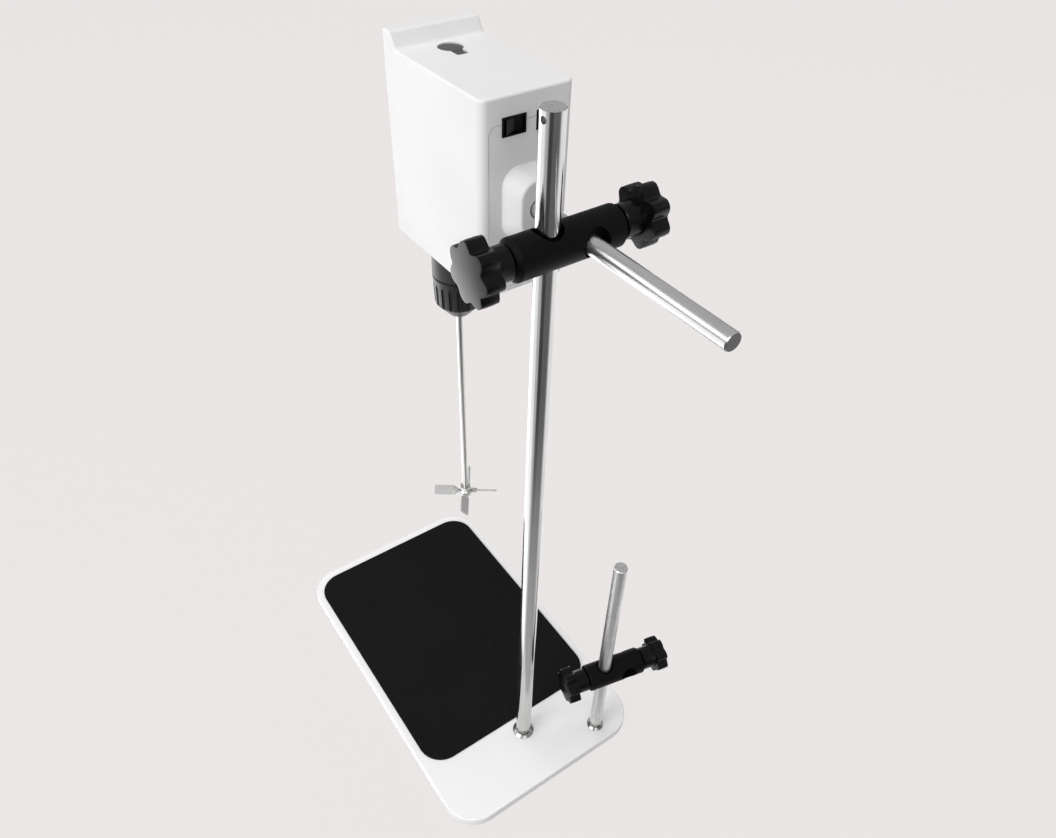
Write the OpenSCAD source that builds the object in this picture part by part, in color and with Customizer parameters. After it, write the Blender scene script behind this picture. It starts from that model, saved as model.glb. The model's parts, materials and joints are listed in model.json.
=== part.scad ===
// Overhead stirrer on a plate stand: base, column, cross clamps, drive head, chuck and propeller.
// Millimetres, +Z up, the display side faces -Y, the origin is under the middle of the base plate.

/* [Base] */
// Width of the base plate, along X
base_w = 232; // [200:1:260]
// Length of the base plate, along Y
base_l = 382; // [340:1:420]
// Thickness of the base plate
base_t = 12; // [10:0.5:16]
// Corner radius of the base plate
base_corner_r = 34; // [20:1:40]
// Thickness of the anti-slip pad under the plate
pad_t = 2; // [1.5:0.5:4]
// How far the anti-slip pad stays inside the plate's edge
pad_inset = 5; // [3:1:12]
// Width of the work mat
mat_w = 216; // [180:1:224]
// Length of the work mat
mat_l = 295; // [250:1:300]
// Thickness of the work mat
mat_t = 2.5; // [1.5:0.5:4]
// Corner radius of the work mat
mat_corner_r = 27; // [15:1:34]
// Plate left bare in front of the mat
mat_front_gap = 11; // [8:1:20]

/* [Column and accessory rod] */
// Diameter of the column
column_d = 16; // [14:0.5:18]
// Height of the column's top above the bench
column_top = 712.8; // [690:0.1:760]
// Column axis to the plate's rear edge
column_from_rear = 59.5; // [50:0.5:70]
// Diameter of the accessory rod and of the support rod
rod_d = 13; // [12:0.5:14]
// Accessory rod to the plate's centre line, towards -X
accessory_offset = 71.5; // [60:0.5:85]
// Accessory rod axis to the plate's rear edge
accessory_from_rear = 20.2; // [18:0.1:30]
// Height of the accessory rod's top above the bench
accessory_top = 297; // [240:1:320]

/* [Cross clamp] */
// Height of the clamp's axis above the bench
clamp_z = 624; // [600:1:640]
// Diameter of the clamp body
clamp_d = 29; // [27:0.5:34]
// Length of the clamp body, along X
clamp_l = 86; // [80:1:96]
// Distance between the clamp's two bores
arm_offset = 26.5; // [24:0.5:32]
// Diameter of the wide mouths of both bores
mouth_d = 21; // [18:0.5:22]
// Diameter over the lobes of a star knob
knob_d = 43; // [38:1:50]
// Thickness of a star knob
knob_t = 13; // [11:0.5:16]
// Diameter of the hub behind a star knob
knob_hub_d = 24; // [20:0.5:26]
// Length of that hub
knob_hub_l = 14; // [10:0.5:16]
// Diameter of the clamping stud
stud_d = 8; // [6:0.5:10]
// Number of lobes of every star knob
knob_lobes = 7; // [5:1:8]

/* [Small cross clamp] */
// Height of the small clamp's axis above the bench
small_clamp_z = 121.5; // [60:0.5:200]
// Turn of the small clamp about its rod, in degrees
small_clamp_turn = -12; // [-20:1:20]
// Diameter of the small clamp body
small_clamp_d = 27; // [24:0.5:28]
// Length of the small clamp body
small_clamp_l = 61; // [56:1:66]
// Distance between the small clamp's two bores
small_offset = 22; // [20:0.5:24]
// Diameter of the wide mouths of the small clamp's bores
small_mouth_d = 17.5; // [15:0.5:18]
// Diameter over the lobes of a small star knob
small_knob_d = 36; // [32:1:40]
// Thickness of a small star knob
small_knob_t = 11; // [9:0.5:13]
// Diameter of the hub behind a small star knob
small_hub_d = 23; // [20:0.5:24]
// Length of that hub
small_hub_l = 13; // [10:0.5:15]
// Diameter of the small clamping stud
small_stud_d = 6; // [5:0.5:6]

/* [Head] */
// Width of the head, along X
head_w = 73; // [70:0.5:80]
// Depth of the head, along Y
head_l = 127.5; // [124:0.5:140]
// Rear face of the head to the column's axis
head_gap = 60; // [56:0.5:70]
// Head below the support rod's axis
head_below_arm = 69; // [66:0.5:76]
// Head above the support rod's axis, to its flat top
head_above_arm = 73.3; // [70:0.1:80]
// Rise of the front lip above the flat top
lip_h = 10.2; // [6:0.1:14]
// Depth of the lip at its crest
lip_crest = 13; // [10:0.5:16]
// Depth of the lip at its foot
lip_foot = 20; // [18:0.5:24]
// Wall thickness of the shell
wall = 3; // [2.5:0.5:3.5]
// Width of the rear cover
cover_w = 60; // [56:0.5:62]
// Top edge of the rear cover, above the support rod's axis
cover_top = 55.5; // [52:0.5:58]
// Height of the boss on the rear cover
boss_h = 15; // [12:0.5:18]
// Support rod's free end, behind the column's axis
arm_reach = 135; // [120:1:160]

/* [Chuck and stirrer] */
// Spindle axis to the front face of the head
spindle_setback = 33.5; // [32:0.5:36]
// Diameter of the chuck's back ring
ring_d = 43.4; // [40:0.2:46]
// Length of the back ring
ring_l = 33.5; // [30:0.5:36]
// Length of the chuck sleeve
sleeve_l = 39; // [38:0.5:40]
// Number of flutes round the chuck sleeve
sleeve_flutes = 18; // [16:1:24]
// Diameter of the stirring shaft
shaft_d = 6; // [5:0.5:8]
// Height of the propeller above the bench
propeller_z = 254; // [240:1:300]
// Diameter swept by the propeller
propeller_d = 65; // [56:1:80]
// Width of a propeller blade
blade_w = 10; // [8:0.5:12]
// Pitch of the propeller blades, in degrees
blade_pitch = 45; // [30:1:60]
// Turn of the propeller about the shaft, in degrees
propeller_turn = 55.5; // [0:0.5:90]

/* [Hidden] */
$fn = 72;

// Radial clearance of a running fit, air left in a fixed fit, and the gap between pieces that pass each other
run = 0.05;
press = 0.02;
gap = 0.3;
// Cutters reach this far past the face that they open
past = 1;

steel = "#c9cac9";
plastic_white = "#f2f1ef";
plastic_black = "#1c1c1d";
rubber_grey = "#4a4a4b";

plate_bottom = pad_t;
plate_top = pad_t + base_t;
column_x = 0;
column_y = base_l / 2 - column_from_rear;
accessory_x = -accessory_offset;
accessory_y = base_l / 2 - accessory_from_rear;
arm_x = column_x - arm_offset;
arm_z = clamp_z;
clamp_mid = (column_x + arm_x) / 2;

// Flange nuts: across flats, flange diameter, height and thread for column and accessory rod
column_nut_size = [16, 23, 10, 10];
accessory_nut_size = [13, 18, 8, 8];
lock_nut_recess = 6;
lock_nut_room = 1;
column_foot = plate_top + column_nut_size[2] + gap;
accessory_foot = plate_top + accessory_nut_size[2] + gap;

// Cross clamps: length of a rod's seat between its bore's mouths, air beside the rod in a mouth that lies
// off its axis, and chamfers of the bodies' ends
clamp_seat = 14;
mouth_air = 0.5;
clamp_chamfer = 2.9;
small_clamp_chamfer = 1;

// Pressure pads: length, and the air before the gripped rod and behind the pad
pad_len = 3.5;
pad_air = 0.3;
free_pad_air = 1;
stud_air = 0.1;
// Air between a clamp body's end and its knob's hub
knob_air = 1.2;
// Star knobs: depth of the notches as a share of the radius, how flat the lobes are, the first lobe's turn
knob_notch = 0.21;
knob_flatness = 1.3;
column_knob_turn = 140;
arm_knob_turn = 53;
small_rod_knob_turn = 20;
small_free_knob_turn = 45;

head_rear = column_y - head_gap;
head_front = head_rear - head_l;
head_bottom = arm_z - head_below_arm;
head_top = arm_z + head_above_arm;
head_mid = (head_front + head_rear) / 2;
cover_top_z = arm_z + cover_top;
cover_bottom_z = head_bottom + 5;
seam = 0.35;

// Openings in the rear face: middle along X, middle along Z, width and height
switch_hole = [arm_x + 11, arm_z + 53.5, 18.6, 12.8];
inlet_hole = [arm_x - 16.6, arm_z + 52.85, 20.6, 13.3];
opening_depth = 20;
rocker_tilt = 8;

spindle_x = arm_x;
spindle_y = head_front + spindle_setback;
ring_top = head_bottom - 2;
ring_bottom = ring_top - ring_l;
sleeve_top = ring_bottom - 1;
sleeve_bottom = sleeve_top - sleeve_l;
spindle_r = 8;
spindle_bore_r = 5.5;
spindle_top = head_top - 10;
chuck_body_r = 14;
jaw_r = 3;
jaw_lean = 15;
jaw_l = 28.5;

motor_y = spindle_y + 53;
motor_r = 21;
motor_shaft_r = 3;
motor_pulley_r = 9;
spindle_pulley_r = 19;
frame_plate_t = 5;
frame_top = arm_z + 27;
pulley_z = frame_top + 5;
pulley_h = 11;
belt_t = 1.6;
belt_h = 8;
panel_w = 61;
panel_l = 118;
panel_z = arm_z + 6;

// Plan shapes

module rounded_rect(w, l, r) {
    square([w - 2 * r, l], center = true);
    square([w, l - 2 * r], center = true);
    for (x = [-1, 1], y = [-1, 1])
        translate([x * (w / 2 - r), y * (l / 2 - r)])
            circle(r);
}

// Points of one rounded corner b of an outline that comes from a and goes on to c
function unit(v) = v / norm(v);
function corner(a, b, c, r, steps = 8) =
    let (u = unit(a - b), v = unit(c - b),
         half = acos(max(-1, min(1, u * v))) / 2,
         mid = b + unit(u + v) * r / sin(half),
         from = b + u * r / tan(half) - mid,
         to = b + v * r / tan(half) - mid)
    [for (i = [0:steps])
        let (d = unit(from * (1 - i / steps) + to * i / steps))
        mid + d * r];
function rounded(points, radii) =
    let (n = len(points))
    [for (i = [0:n - 1]) each corner(points[(i + n - 1) % n], points[i], points[(i + 1) % n], radii[i])];

// Turns a shape that stands on Z so that it lies along +X or along -X
module along_x(side) {
    rotate([0, 90 * side, 0]) children();
}

// Turns a plan so that its X stays X and its Y becomes Z, and extrudes it from y0 towards +Y
module wall_y(y0, t) {
    translate([0, y0 + t, 0]) rotate([90, 0, 0]) linear_extrude(t) children();
}

module at_spindle(z = 0) {
    translate([spindle_x, spindle_y, z]) children();
}

module at_motor(z = 0) {
    translate([spindle_x, motor_y, z]) children();
}

// Stand

module base_pad() {
    color(rubber_grey)
        linear_extrude(pad_t)
            rounded_rect(base_w - 2 * pad_inset, base_l - 2 * pad_inset, base_corner_r - pad_inset);
}

module post_hole(x, y, size) {
    translate([x, y, 0]) {
        cylinder(r = size[3] / 2 + run, h = plate_top + past);
        cylinder(d = size[1] + 2 * lock_nut_room, h = plate_bottom + lock_nut_recess);
    }
}

module base_plate() {
    color(plastic_white) difference() {
        translate([0, 0, plate_bottom]) linear_extrude(base_t) rounded_rect(base_w, base_l, base_corner_r);
        post_hole(column_x, column_y, column_nut_size);
        post_hole(accessory_x, accessory_y, accessory_nut_size);
    }
}

module base_mat() {
    color(plastic_black)
        translate([0, -base_l / 2 + mat_front_gap + mat_l / 2, plate_top])
            linear_extrude(mat_t)
                rounded_rect(mat_w, mat_l, mat_corner_r);
}

// A rod with a chamfered top and a reduced threaded end that reaches down into the lock nut's recess
module post(d, foot, top, thread_d) {
    chamfer = 0.8;
    stud_bottom = plate_bottom + 1;
    rotate_extrude() polygon([
        [0, stud_bottom], [thread_d / 2, stud_bottom], [thread_d / 2, foot],
        [d / 2, foot], [d / 2, top - chamfer], [d / 2 - chamfer, top], [0, top]
    ]);
}

module column() {
    hole_d = 4.5;
    hole_drop = 6;
    hole_turn = 11;
    mark_d = 3;
    mark_tip_d = 0.4;
    mark_depth = 1.2;
    color(steel) translate([column_x, column_y, 0]) difference() {
        post(column_d, column_foot, column_top, column_nut_size[3]);
        translate([0, 0, column_top - hole_drop])
            rotate(hole_turn)
                along_x(1)
                    cylinder(d = hole_d, h = 2 * column_d, center = true);
        translate([0, 0, column_top - mark_depth])
            cylinder(d1 = mark_tip_d, d2 = mark_d, h = mark_depth + press);
    }
}

module accessory_rod() {
    color(steel) translate([accessory_x, accessory_y, 0])
        post(rod_d, accessory_foot, accessory_top, accessory_nut_size[3]);
}

// A hexagon nut with a conical flange under it
module flange_nut(size) {
    rim = 1.2;
    cone = 2;
    difference() {
        union() {
            cylinder(d = size[1], h = rim);
            translate([0, 0, rim]) cylinder(d1 = size[1], d2 = size[0] + 1, h = cone);
            cylinder(d = size[0] / cos(30), h = size[2], $fn = 6);
        }
        translate([0, 0, -past]) cylinder(d = size[3] + 2 * run, h = size[2] + 2 * past);
    }
}

// A thin plain nut in the recess under the plate
module lock_nut(size) {
    translate([0, 0, plate_bottom + lock_nut_recess - size[3] / 2]) difference() {
        cylinder(d = size[0] / cos(30), h = size[3] / 2, $fn = 6);
        translate([0, 0, -past]) cylinder(d = size[3] + 2 * run, h = size[3]);
    }
}

module column_nut() {
    color(steel) translate([column_x, column_y, plate_top]) flange_nut(column_nut_size);
}

module column_lock_nut() {
    color(steel) translate([column_x, column_y, 0]) lock_nut(column_nut_size);
}

module accessory_nut() {
    color(steel) translate([accessory_x, accessory_y, plate_top]) flange_nut(accessory_nut_size);
}

module accessory_lock_nut() {
    color(steel) translate([accessory_x, accessory_y, 0]) lock_nut(accessory_nut_size);
}

// Cross clamps, drawn along X with the rod that stands on Z at the origin

// Cutter for a bore on Z: the rod's seat, and a wide mouth at each end that lies off its axis by shift
module clamp_bore(d, seat_d, mouth, shift) {
    translate([0, 0, -d]) cylinder(r = seat_d / 2 + run, h = 2 * d);
    translate([-shift, 0, clamp_seat / 2]) cylinder(d = mouth, h = d);
    translate([-shift, 0, -clamp_seat / 2 - d]) cylinder(d = mouth, h = d);
}

// Turned body: one bore on Z, one on Y at distance dx, and a stud hole in from each end
module clamp_blank(d, l, dx, rod_z_d, rod_y_d, screw_d, chamfer, mouth) {
    difference() {
        translate([-dx / 2 - l / 2, 0, 0]) along_x(1) rotate_extrude() polygon([
            [0, 0], [d / 2 - chamfer, 0], [d / 2, chamfer],
            [d / 2, l - chamfer], [d / 2 - chamfer, l], [0, l]
        ]);
        clamp_bore(d, rod_z_d, mouth, 0);
        translate([-dx, 0, 0]) rotate([-90, 0, 0])
            clamp_bore(d, rod_y_d, mouth, (mouth - rod_y_d) / 2 - mouth_air);
        along_x(1) cylinder(r = screw_d / 2 + run, h = l);
        translate([-dx, 0, 0]) along_x(-1) cylinder(r = screw_d / 2 + run, h = l);
    }
}

// Outline of a star knob: a circle with a wave of notches round it
function star(d, steps = 14) = [
    for (i = [0:steps * knob_lobes - 1])
        let (a = i * 360 / (steps * knob_lobes),
             r = d / 2 * (1 - knob_notch * pow((1 - cos(knob_lobes * a)) / 2, knob_flatness)))
        [r * cos(a), r * sin(a)]
];

// Star knob on Z: the hub stands on z0, the lobes on top of it, and the stud ends inside the lobes
module star_knob(d, t, hub_d, hub_l, screw_d, z0, turn) {
    translate([0, 0, z0]) difference() {
        union() {
            cylinder(d = hub_d, h = hub_l + 1);
            translate([0, 0, hub_l]) rotate(turn) linear_extrude(t) polygon(star(d));
        }
        translate([0, 0, -past]) cylinder(r = screw_d / 2 + press, h = hub_l + t / 2 + past);
    }
}

module knob_stud(screw_d, from, to) {
    translate([0, 0, from]) cylinder(d = screw_d, h = to - from);
}

module pressure_pad(screw_d, from) {
    translate([0, 0, from]) cylinder(d = screw_d, h = pad_len);
}

// Distances from a gripped rod's axis, outwards along its stud
function pad_start(gripped_d, air) = gripped_d / 2 + air;
function stud_start(gripped_d, air) = pad_start(gripped_d, air) + pad_len + stud_air;
function hub_start(l, dx) = l / 2 - dx / 2 + knob_air;
function stud_end(l, dx, hub_l, t) = hub_start(l, dx) + hub_l + t / 2;

module clamp_frame(side) {
    translate([side > 0 ? column_x : arm_x, column_y, clamp_z]) along_x(side) children();
}

module small_frame(side) {
    translate([accessory_x, accessory_y, small_clamp_z])
        rotate(small_clamp_turn)
            translate([side > 0 ? 0 : -small_offset, 0, 0])
                along_x(side)
                    children();
}

module clamp_body() {
    color(plastic_black) translate([column_x, column_y, clamp_z])
        clamp_blank(clamp_d, clamp_l, arm_offset, column_d, rod_d, stud_d, clamp_chamfer, mouth_d);
}

module column_knob() {
    color(plastic_black) clamp_frame(1)
        star_knob(knob_d, knob_t, knob_hub_d, knob_hub_l, stud_d,
            hub_start(clamp_l, arm_offset), column_knob_turn);
}

module column_stud() {
    color(steel) clamp_frame(1)
        knob_stud(stud_d, stud_start(column_d, pad_air), stud_end(clamp_l, arm_offset, knob_hub_l, knob_t));
}

module column_pressure_pad() {
    color("#b08d4a") clamp_frame(1) pressure_pad(stud_d, pad_start(column_d, pad_air));
}

module arm_knob() {
    color(plastic_black) clamp_frame(-1)
        star_knob(knob_d, knob_t, knob_hub_d, knob_hub_l, stud_d,
            hub_start(clamp_l, arm_offset), arm_knob_turn);
}

module arm_stud() {
    color(steel) clamp_frame(-1)
        knob_stud(stud_d, stud_start(rod_d, pad_air), stud_end(clamp_l, arm_offset, knob_hub_l, knob_t));
}

module arm_pressure_pad() {
    color("#b08d4a") clamp_frame(-1) pressure_pad(stud_d, pad_start(rod_d, pad_air));
}

module small_clamp_body() {
    color(plastic_black) translate([accessory_x, accessory_y, small_clamp_z]) rotate(small_clamp_turn)
        clamp_blank(small_clamp_d, small_clamp_l, small_offset, rod_d, rod_d, small_stud_d,
            small_clamp_chamfer, small_mouth_d);
}

module small_knob(side, turn) {
    color(plastic_black) small_frame(side)
        star_knob(small_knob_d, small_knob_t, small_hub_d, small_hub_l, small_stud_d,
            hub_start(small_clamp_l, small_offset), turn);
}

module small_stud(side, air) {
    color(steel) small_frame(side)
        knob_stud(small_stud_d, stud_start(rod_d, air),
            stud_end(small_clamp_l, small_offset, small_hub_l, small_knob_t));
}

module small_rod_knob() {
    small_knob(1, small_rod_knob_turn);
}

module small_rod_stud() {
    small_stud(1, pad_air);
}

module small_rod_pressure_pad() {
    color("#b08d4a") small_frame(1) pressure_pad(small_stud_d, pad_start(rod_d, pad_air));
}

module small_free_knob() {
    small_knob(-1, small_free_knob_turn);
}

module small_free_stud() {
    small_stud(-1, free_pad_air);
}

module small_free_pressure_pad() {
    color("#b08d4a") small_frame(-1) pressure_pad(small_stud_d, pad_start(rod_d, free_pad_air));
}

// Support rod and the socket that it turns in

rod_inner_end = head_rear - 14;

module support_rod() {
    chamfer = 0.8;
    l = column_y + arm_reach - rod_inner_end;
    color(steel) at_arm(rod_inner_end) rotate_extrude() polygon([
        [0, 0], [rod_d / 2 - chamfer, 0], [rod_d / 2, chamfer],
        [rod_d / 2, l - chamfer], [rod_d / 2 - chamfer, l], [0, l]
    ]);
}

module at_arm(y) {
    translate([arm_x, y, arm_z]) rotate([-90, 0, 0]) children();
}

module rod_socket() {
    tube_r = rod_d / 2 + 3.5;
    tube_from = head_rear - 12;
    tube_l = 23;
    flange = 40;
    flange_t = 6;
    color("#a8aaab") difference() {
        union() {
            at_arm(tube_from) cylinder(r = tube_r, h = tube_l);
            wall_y(head_rear - wall - flange_t, flange_t)
                translate([arm_x, arm_z])
                    square(flange, center = true);
        }
        at_arm(tube_from - past) cylinder(r = rod_d / 2 + run, h = tube_l + 2 * past);
    }
}

// Head casing

module head_profile() {
    edge_r = 2;
    foot_r = 1.5;
    polygon(rounded([
        [head_front, head_bottom], [head_front, head_top + lip_h], [head_front + lip_crest, head_top + lip_h],
        [head_front + lip_foot, head_top], [head_rear, head_top], [head_rear, head_bottom]
    ], [edge_r, edge_r, edge_r, foot_r, edge_r, edge_r]));
}

// Extrudes a profile given in Y and Z along X, centred on the head
module head_slab(w) {
    translate([arm_x - w / 2, 0, 0]) rotate([90, 0, 90]) linear_extrude(w) children();
}

module head_solid() {
    plan_r = 6;
    intersection() {
        head_slab(head_w) head_profile();
        translate([arm_x, head_mid, head_bottom - past])
            linear_extrude(head_below_arm + head_above_arm + lip_h + 2 * past)
                rounded_rect(head_w, head_l, plan_r);
    }
}

module cover_plan(slack) {
    top_r = 6;
    mid = (cover_top_z + cover_bottom_z) / 2;
    translate([arm_x, mid])
        rounded_rect(cover_w + 2 * slack, cover_top_z - cover_bottom_z + 2 * slack, top_r);
}

module rear_openings() {
    for (h = [switch_hole, inlet_hole])
        wall_y(head_rear - opening_depth, opening_depth + past)
            translate([h[0], h[1]])
                square([h[2], h[3]], center = true);
}

// Keyhole on the flat top: a round opening over the spindle and a tab towards the rear
module keyhole_plan(round_r, tab_w, tab_l) {
    circle(round_r);
    translate([-tab_w / 2, 0]) square([tab_w, tab_l]);
}

plug_r = 9;
plug_tab_w = 9;
plug_tab_l = 17.3;
plug_flange = 1.5;
// The plug's flange lies in a pocket of this depth and stays below the flat top
plug_pocket = 2;
plug_flange_t = 1.2;
knob_z = arm_z - 24;
window_size = [46, 34];
window_z = arm_z + 34;

cover_screw_x = cover_w / 2 - 7;
cover_screw_z = cover_bottom_z + 8;
cover_screw_r = 1.5;

// Places something at both screws of the rear cover, along Y from y0
module at_cover_screws(y0) {
    for (side = [-1, 1])
        translate([arm_x + side * cover_screw_x, y0, cover_screw_z]) rotate([-90, 0, 0]) children();
}

module head_shell() {
    inner_l = head_l - 2 * wall;
    inner_h = head_below_arm + head_above_arm - 2 * wall;
    post_w = 9;
    post_l = 10;
    color(plastic_white) difference() {
        union() {
            difference() {
                head_solid();
                translate([arm_x - head_w / 2 + wall, head_front + wall, head_bottom + wall])
                    cube([head_w - 2 * wall, inner_l, inner_h]);
            }
            for (side = [-1, 1])
                translate([
                    arm_x + side * cover_screw_x - post_w / 2, head_rear - wall - post_l, head_bottom + past
                ])
                    cube([post_w, post_l, cover_screw_z + post_w / 2 - head_bottom - past]);
        }
        at_cover_screws(head_rear - wall - post_l - past)
            cylinder(r = cover_screw_r + run, h = post_l + 2 * past);
        wall_y(head_rear - wall, wall + past) cover_plan(seam);
        rear_openings();
        wall_y(head_front - past, wall + 2 * past) translate([arm_x, panel_z])
            square([panel_w + 2 * seam, panel_l + 2 * seam], center = true);
        at_spindle(head_top - plug_pocket) linear_extrude(plug_pocket + past)
            keyhole_plan(plug_r + gap, plug_tab_w + 2 * gap, plug_tab_l + gap);
        at_spindle(head_top - wall - past) linear_extrude(wall + 2 * past)
            keyhole_plan(plug_r - plug_flange + gap, plug_tab_w - 2 * plug_flange + 2 * gap,
                plug_tab_l - plug_flange + gap);
        at_spindle(head_bottom - past) cylinder(r = chuck_body_r + past, h = wall + 2 * past);
    }
}

module front_panel() {
    knob_hole_r = 4.5;
    color("#e4e4e2") difference() {
        wall_y(head_front, wall) translate([arm_x, panel_z]) square([panel_w, panel_l], center = true);
        wall_y(head_front - past, wall + 2 * past) translate([arm_x, window_z])
            square([window_size[0] + 2 * seam, window_size[1] + 2 * seam], center = true);
        translate([arm_x, head_front - past, knob_z]) rotate([-90, 0, 0])
            cylinder(r = knob_hole_r, h = wall + 2 * past);
    }
}

module display_window() {
    sink = 0.4;
    color("#20262c") wall_y(head_front + sink, wall - sink) translate([arm_x, window_z])
        square(window_size, center = true);
}

module speed_knob() {
    grip_d = 26;
    grip_l = 13;
    skirt_d = 30;
    skirt_l = 3;
    bore_d = 6;
    bore_l = 9;
    pointer = [1.6, 7, 0.6];
    pointer_from = 7;
    color(plastic_black) translate([arm_x, head_front - gap, knob_z]) rotate([90, 0, 0]) difference() {
        union() {
            cylinder(d = skirt_d, h = skirt_l);
            cylinder(d = grip_d, h = grip_l);
        }
        translate([0, 0, -past]) cylinder(d = bore_d, h = bore_l + past);
        translate([-pointer[0] / 2, pointer_from, grip_l - pointer[2]])
            cube([pointer[0], pointer[1], pointer[2] + past]);
    }
}

module speed_encoder() {
    body = 14;
    body_t = 6.5;
    shaft_l = 11;
    color("#7d8083") {
        translate([arm_x - body / 2, head_front + wall, knob_z - body / 2]) cube([body, body_t, body]);
        translate([arm_x, head_front + wall + past, knob_z]) rotate([90, 0, 0])
            cylinder(r = 3 - run, h = shaft_l);
    }
}

module control_board() {
    board = [54, 96];
    board_t = 1.6;
    display_t = 5;
    display_root = 0.5;
    display_inset = 1;
    board_y = head_front + wall + 6.5;
    color("#2d6a41") {
        wall_y(board_y, board_t) translate([arm_x, panel_z]) square(board, center = true);
        wall_y(board_y - display_t, display_t + display_root) translate([arm_x, window_z])
            square([window_size[0] - 2 * display_inset, window_size[1] - 2 * display_inset], center = true);
    }
}

// Tapered boss with rounded corners, hollow for the rod socket
module boss(base_half, face_half, y0, h, face_t = 0.2) {
    corner_base = base_half * 0.7;
    corner_face = face_half * 0.6;
    hull() {
        wall_y(y0, face_t) translate([arm_x, arm_z])
            rounded_rect(2 * base_half, 2.6 * base_half, corner_base, $fn = 32);
        wall_y(y0 + h - face_t, face_t) translate([arm_x, arm_z])
            rounded_rect(2 * face_half, 2.6 * base_half - 2 * (base_half - face_half), corner_face, $fn = 32);
    }
}

module rear_cover() {
    base_half = 20.2;
    face_half = 14;
    boss_root = 0.5;
    hole_r = rod_d / 2 + 0.8;
    screw_hole_r = 1.7;
    socket_clear = rod_d / 2 + 4;
    color(plastic_white) difference() {
        union() {
            wall_y(head_rear - wall, wall) cover_plan(0);
            boss(base_half, face_half, head_rear - boss_root, boss_h + boss_root);
        }
        at_arm(head_rear - wall - past) cylinder(r = socket_clear, h = boss_h + past);
        at_arm(head_rear) cylinder(r = hole_r, h = boss_h + past);
        rear_openings();
        at_cover_screws(head_rear - wall - past) cylinder(r = screw_hole_r, h = wall + 2 * past);
    }
}

module cover_screws() {
    shank_l = 12;
    head_r = 2.8;
    head_t = 1.8;
    color(steel) {
        at_cover_screws(head_rear - shank_l) cylinder(r = cover_screw_r, h = shank_l);
        at_cover_screws(head_rear) cylinder(r = head_r, h = head_t);
    }
}

// Switch, inlet and plug

rocker_half = 7;
rocker_y = head_rear - 2;
rocker_h = switch_hole[3] - 3.6;
rocker_pin_r = 0.9;
rocker_pin_out = 1;

module at_rocker(h) {
    translate([switch_hole[0], rocker_y, switch_hole[1] - h / 2]) children();
}

module switch_body() {
    depth = 13;
    frame_out = 0.8;
    cavity = 7.5;
    slack = 0.25;
    pin_hole = rocker_h + 2 * rocker_pin_out + 2 * run;
    color(plastic_black) difference() {
        wall_y(head_rear - depth, depth + frame_out) translate([switch_hole[0], switch_hole[1]])
            square([switch_hole[2] - 2 * slack, switch_hole[3] - 2 * slack], center = true);
        wall_y(head_rear + frame_out - cavity, cavity + past) translate([switch_hole[0], switch_hole[1]])
            square([2 * rocker_half + 2, rocker_h + 2 * gap], center = true);
        at_rocker(pin_hole) cylinder(r = rocker_pin_r + run, h = pin_hole);
    }
}

// Two faces that meet in the middle, tipped towards one side, on a pin along Z
module switch_rocker() {
    rise = 2.4;
    dip = 1;
    side = 1.5;
    belly = 3;
    pin_l = rocker_h + 2 * rocker_pin_out;
    color("#101011") {
        at_rocker(rocker_h) rotate(rocker_tilt) linear_extrude(rocker_h) polygon([
            [-rocker_half, rise], [0, rise - dip], [rocker_half, rise],
            [rocker_half - dip, -side], [0, -belly], [-rocker_half + dip, -side]
        ]);
        at_rocker(pin_l) cylinder(r = rocker_pin_r, h = pin_l);
    }
}

inlet_pin_r = 1.2;
inlet_pin_x = [-4.3, 4.3];

module power_inlet() {
    depth = 16;
    mouth = 11;
    mouth_w = 16.5;
    mouth_h = 8.4;
    slack = 0.25;
    pin_hole_r = inlet_pin_r + press;
    color(plastic_black) translate([inlet_hole[0], 0, inlet_hole[1]]) difference() {
        wall_y(head_rear - depth, depth)
            square([inlet_hole[2] - 2 * slack, inlet_hole[3] - 2 * slack], center = true);
        wall_y(head_rear - mouth, mouth + past) square([mouth_w, mouth_h], center = true);
        for (x = inlet_pin_x)
            translate([x, head_rear - depth - past, 0])
                rotate([-90, 0, 0])
                    cylinder(r = pin_hole_r, h = depth);
    }
}

module inlet_pins() {
    pin_from = 19;
    pin_l = 16.5;
    color(steel) for (x = inlet_pin_x)
        translate([inlet_hole[0] + x, head_rear - pin_from, inlet_hole[1]]) rotate([-90, 0, 0])
            cylinder(r = inlet_pin_r, h = pin_l);
}

module top_plug() {
    seat = head_top - plug_pocket;
    stem_l = 3;
    color(rubber_grey) {
        at_spindle(seat) linear_extrude(plug_flange_t) keyhole_plan(plug_r, plug_tab_w, plug_tab_l);
        at_spindle(seat - stem_l) linear_extrude(stem_l + press)
            keyhole_plan(plug_r - plug_flange, plug_tab_w - 2 * plug_flange, plug_tab_l - plug_flange);
    }
}

// Drive: frame, motor, belt and spindle

bearing_r = 15;
bearing_t = 9;
lower_bearing_z = head_bottom + wall + 2;
upper_bearing_z = frame_top - 12;
motor_l = 62;
motor_bottom = frame_top - frame_plate_t - motor_l;
motor_neck_r = 7.5;
motor_screw_r = 2;
motor_screw_l = 11;
motor_screw_pcd = 28;

// Places something at the four screws round the motor's shaft
module at_motor_screws(z) {
    for (a = [45:90:315])
        at_motor(z) rotate(a) translate([motor_screw_pcd / 2, 0, 0]) children();
}

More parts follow.
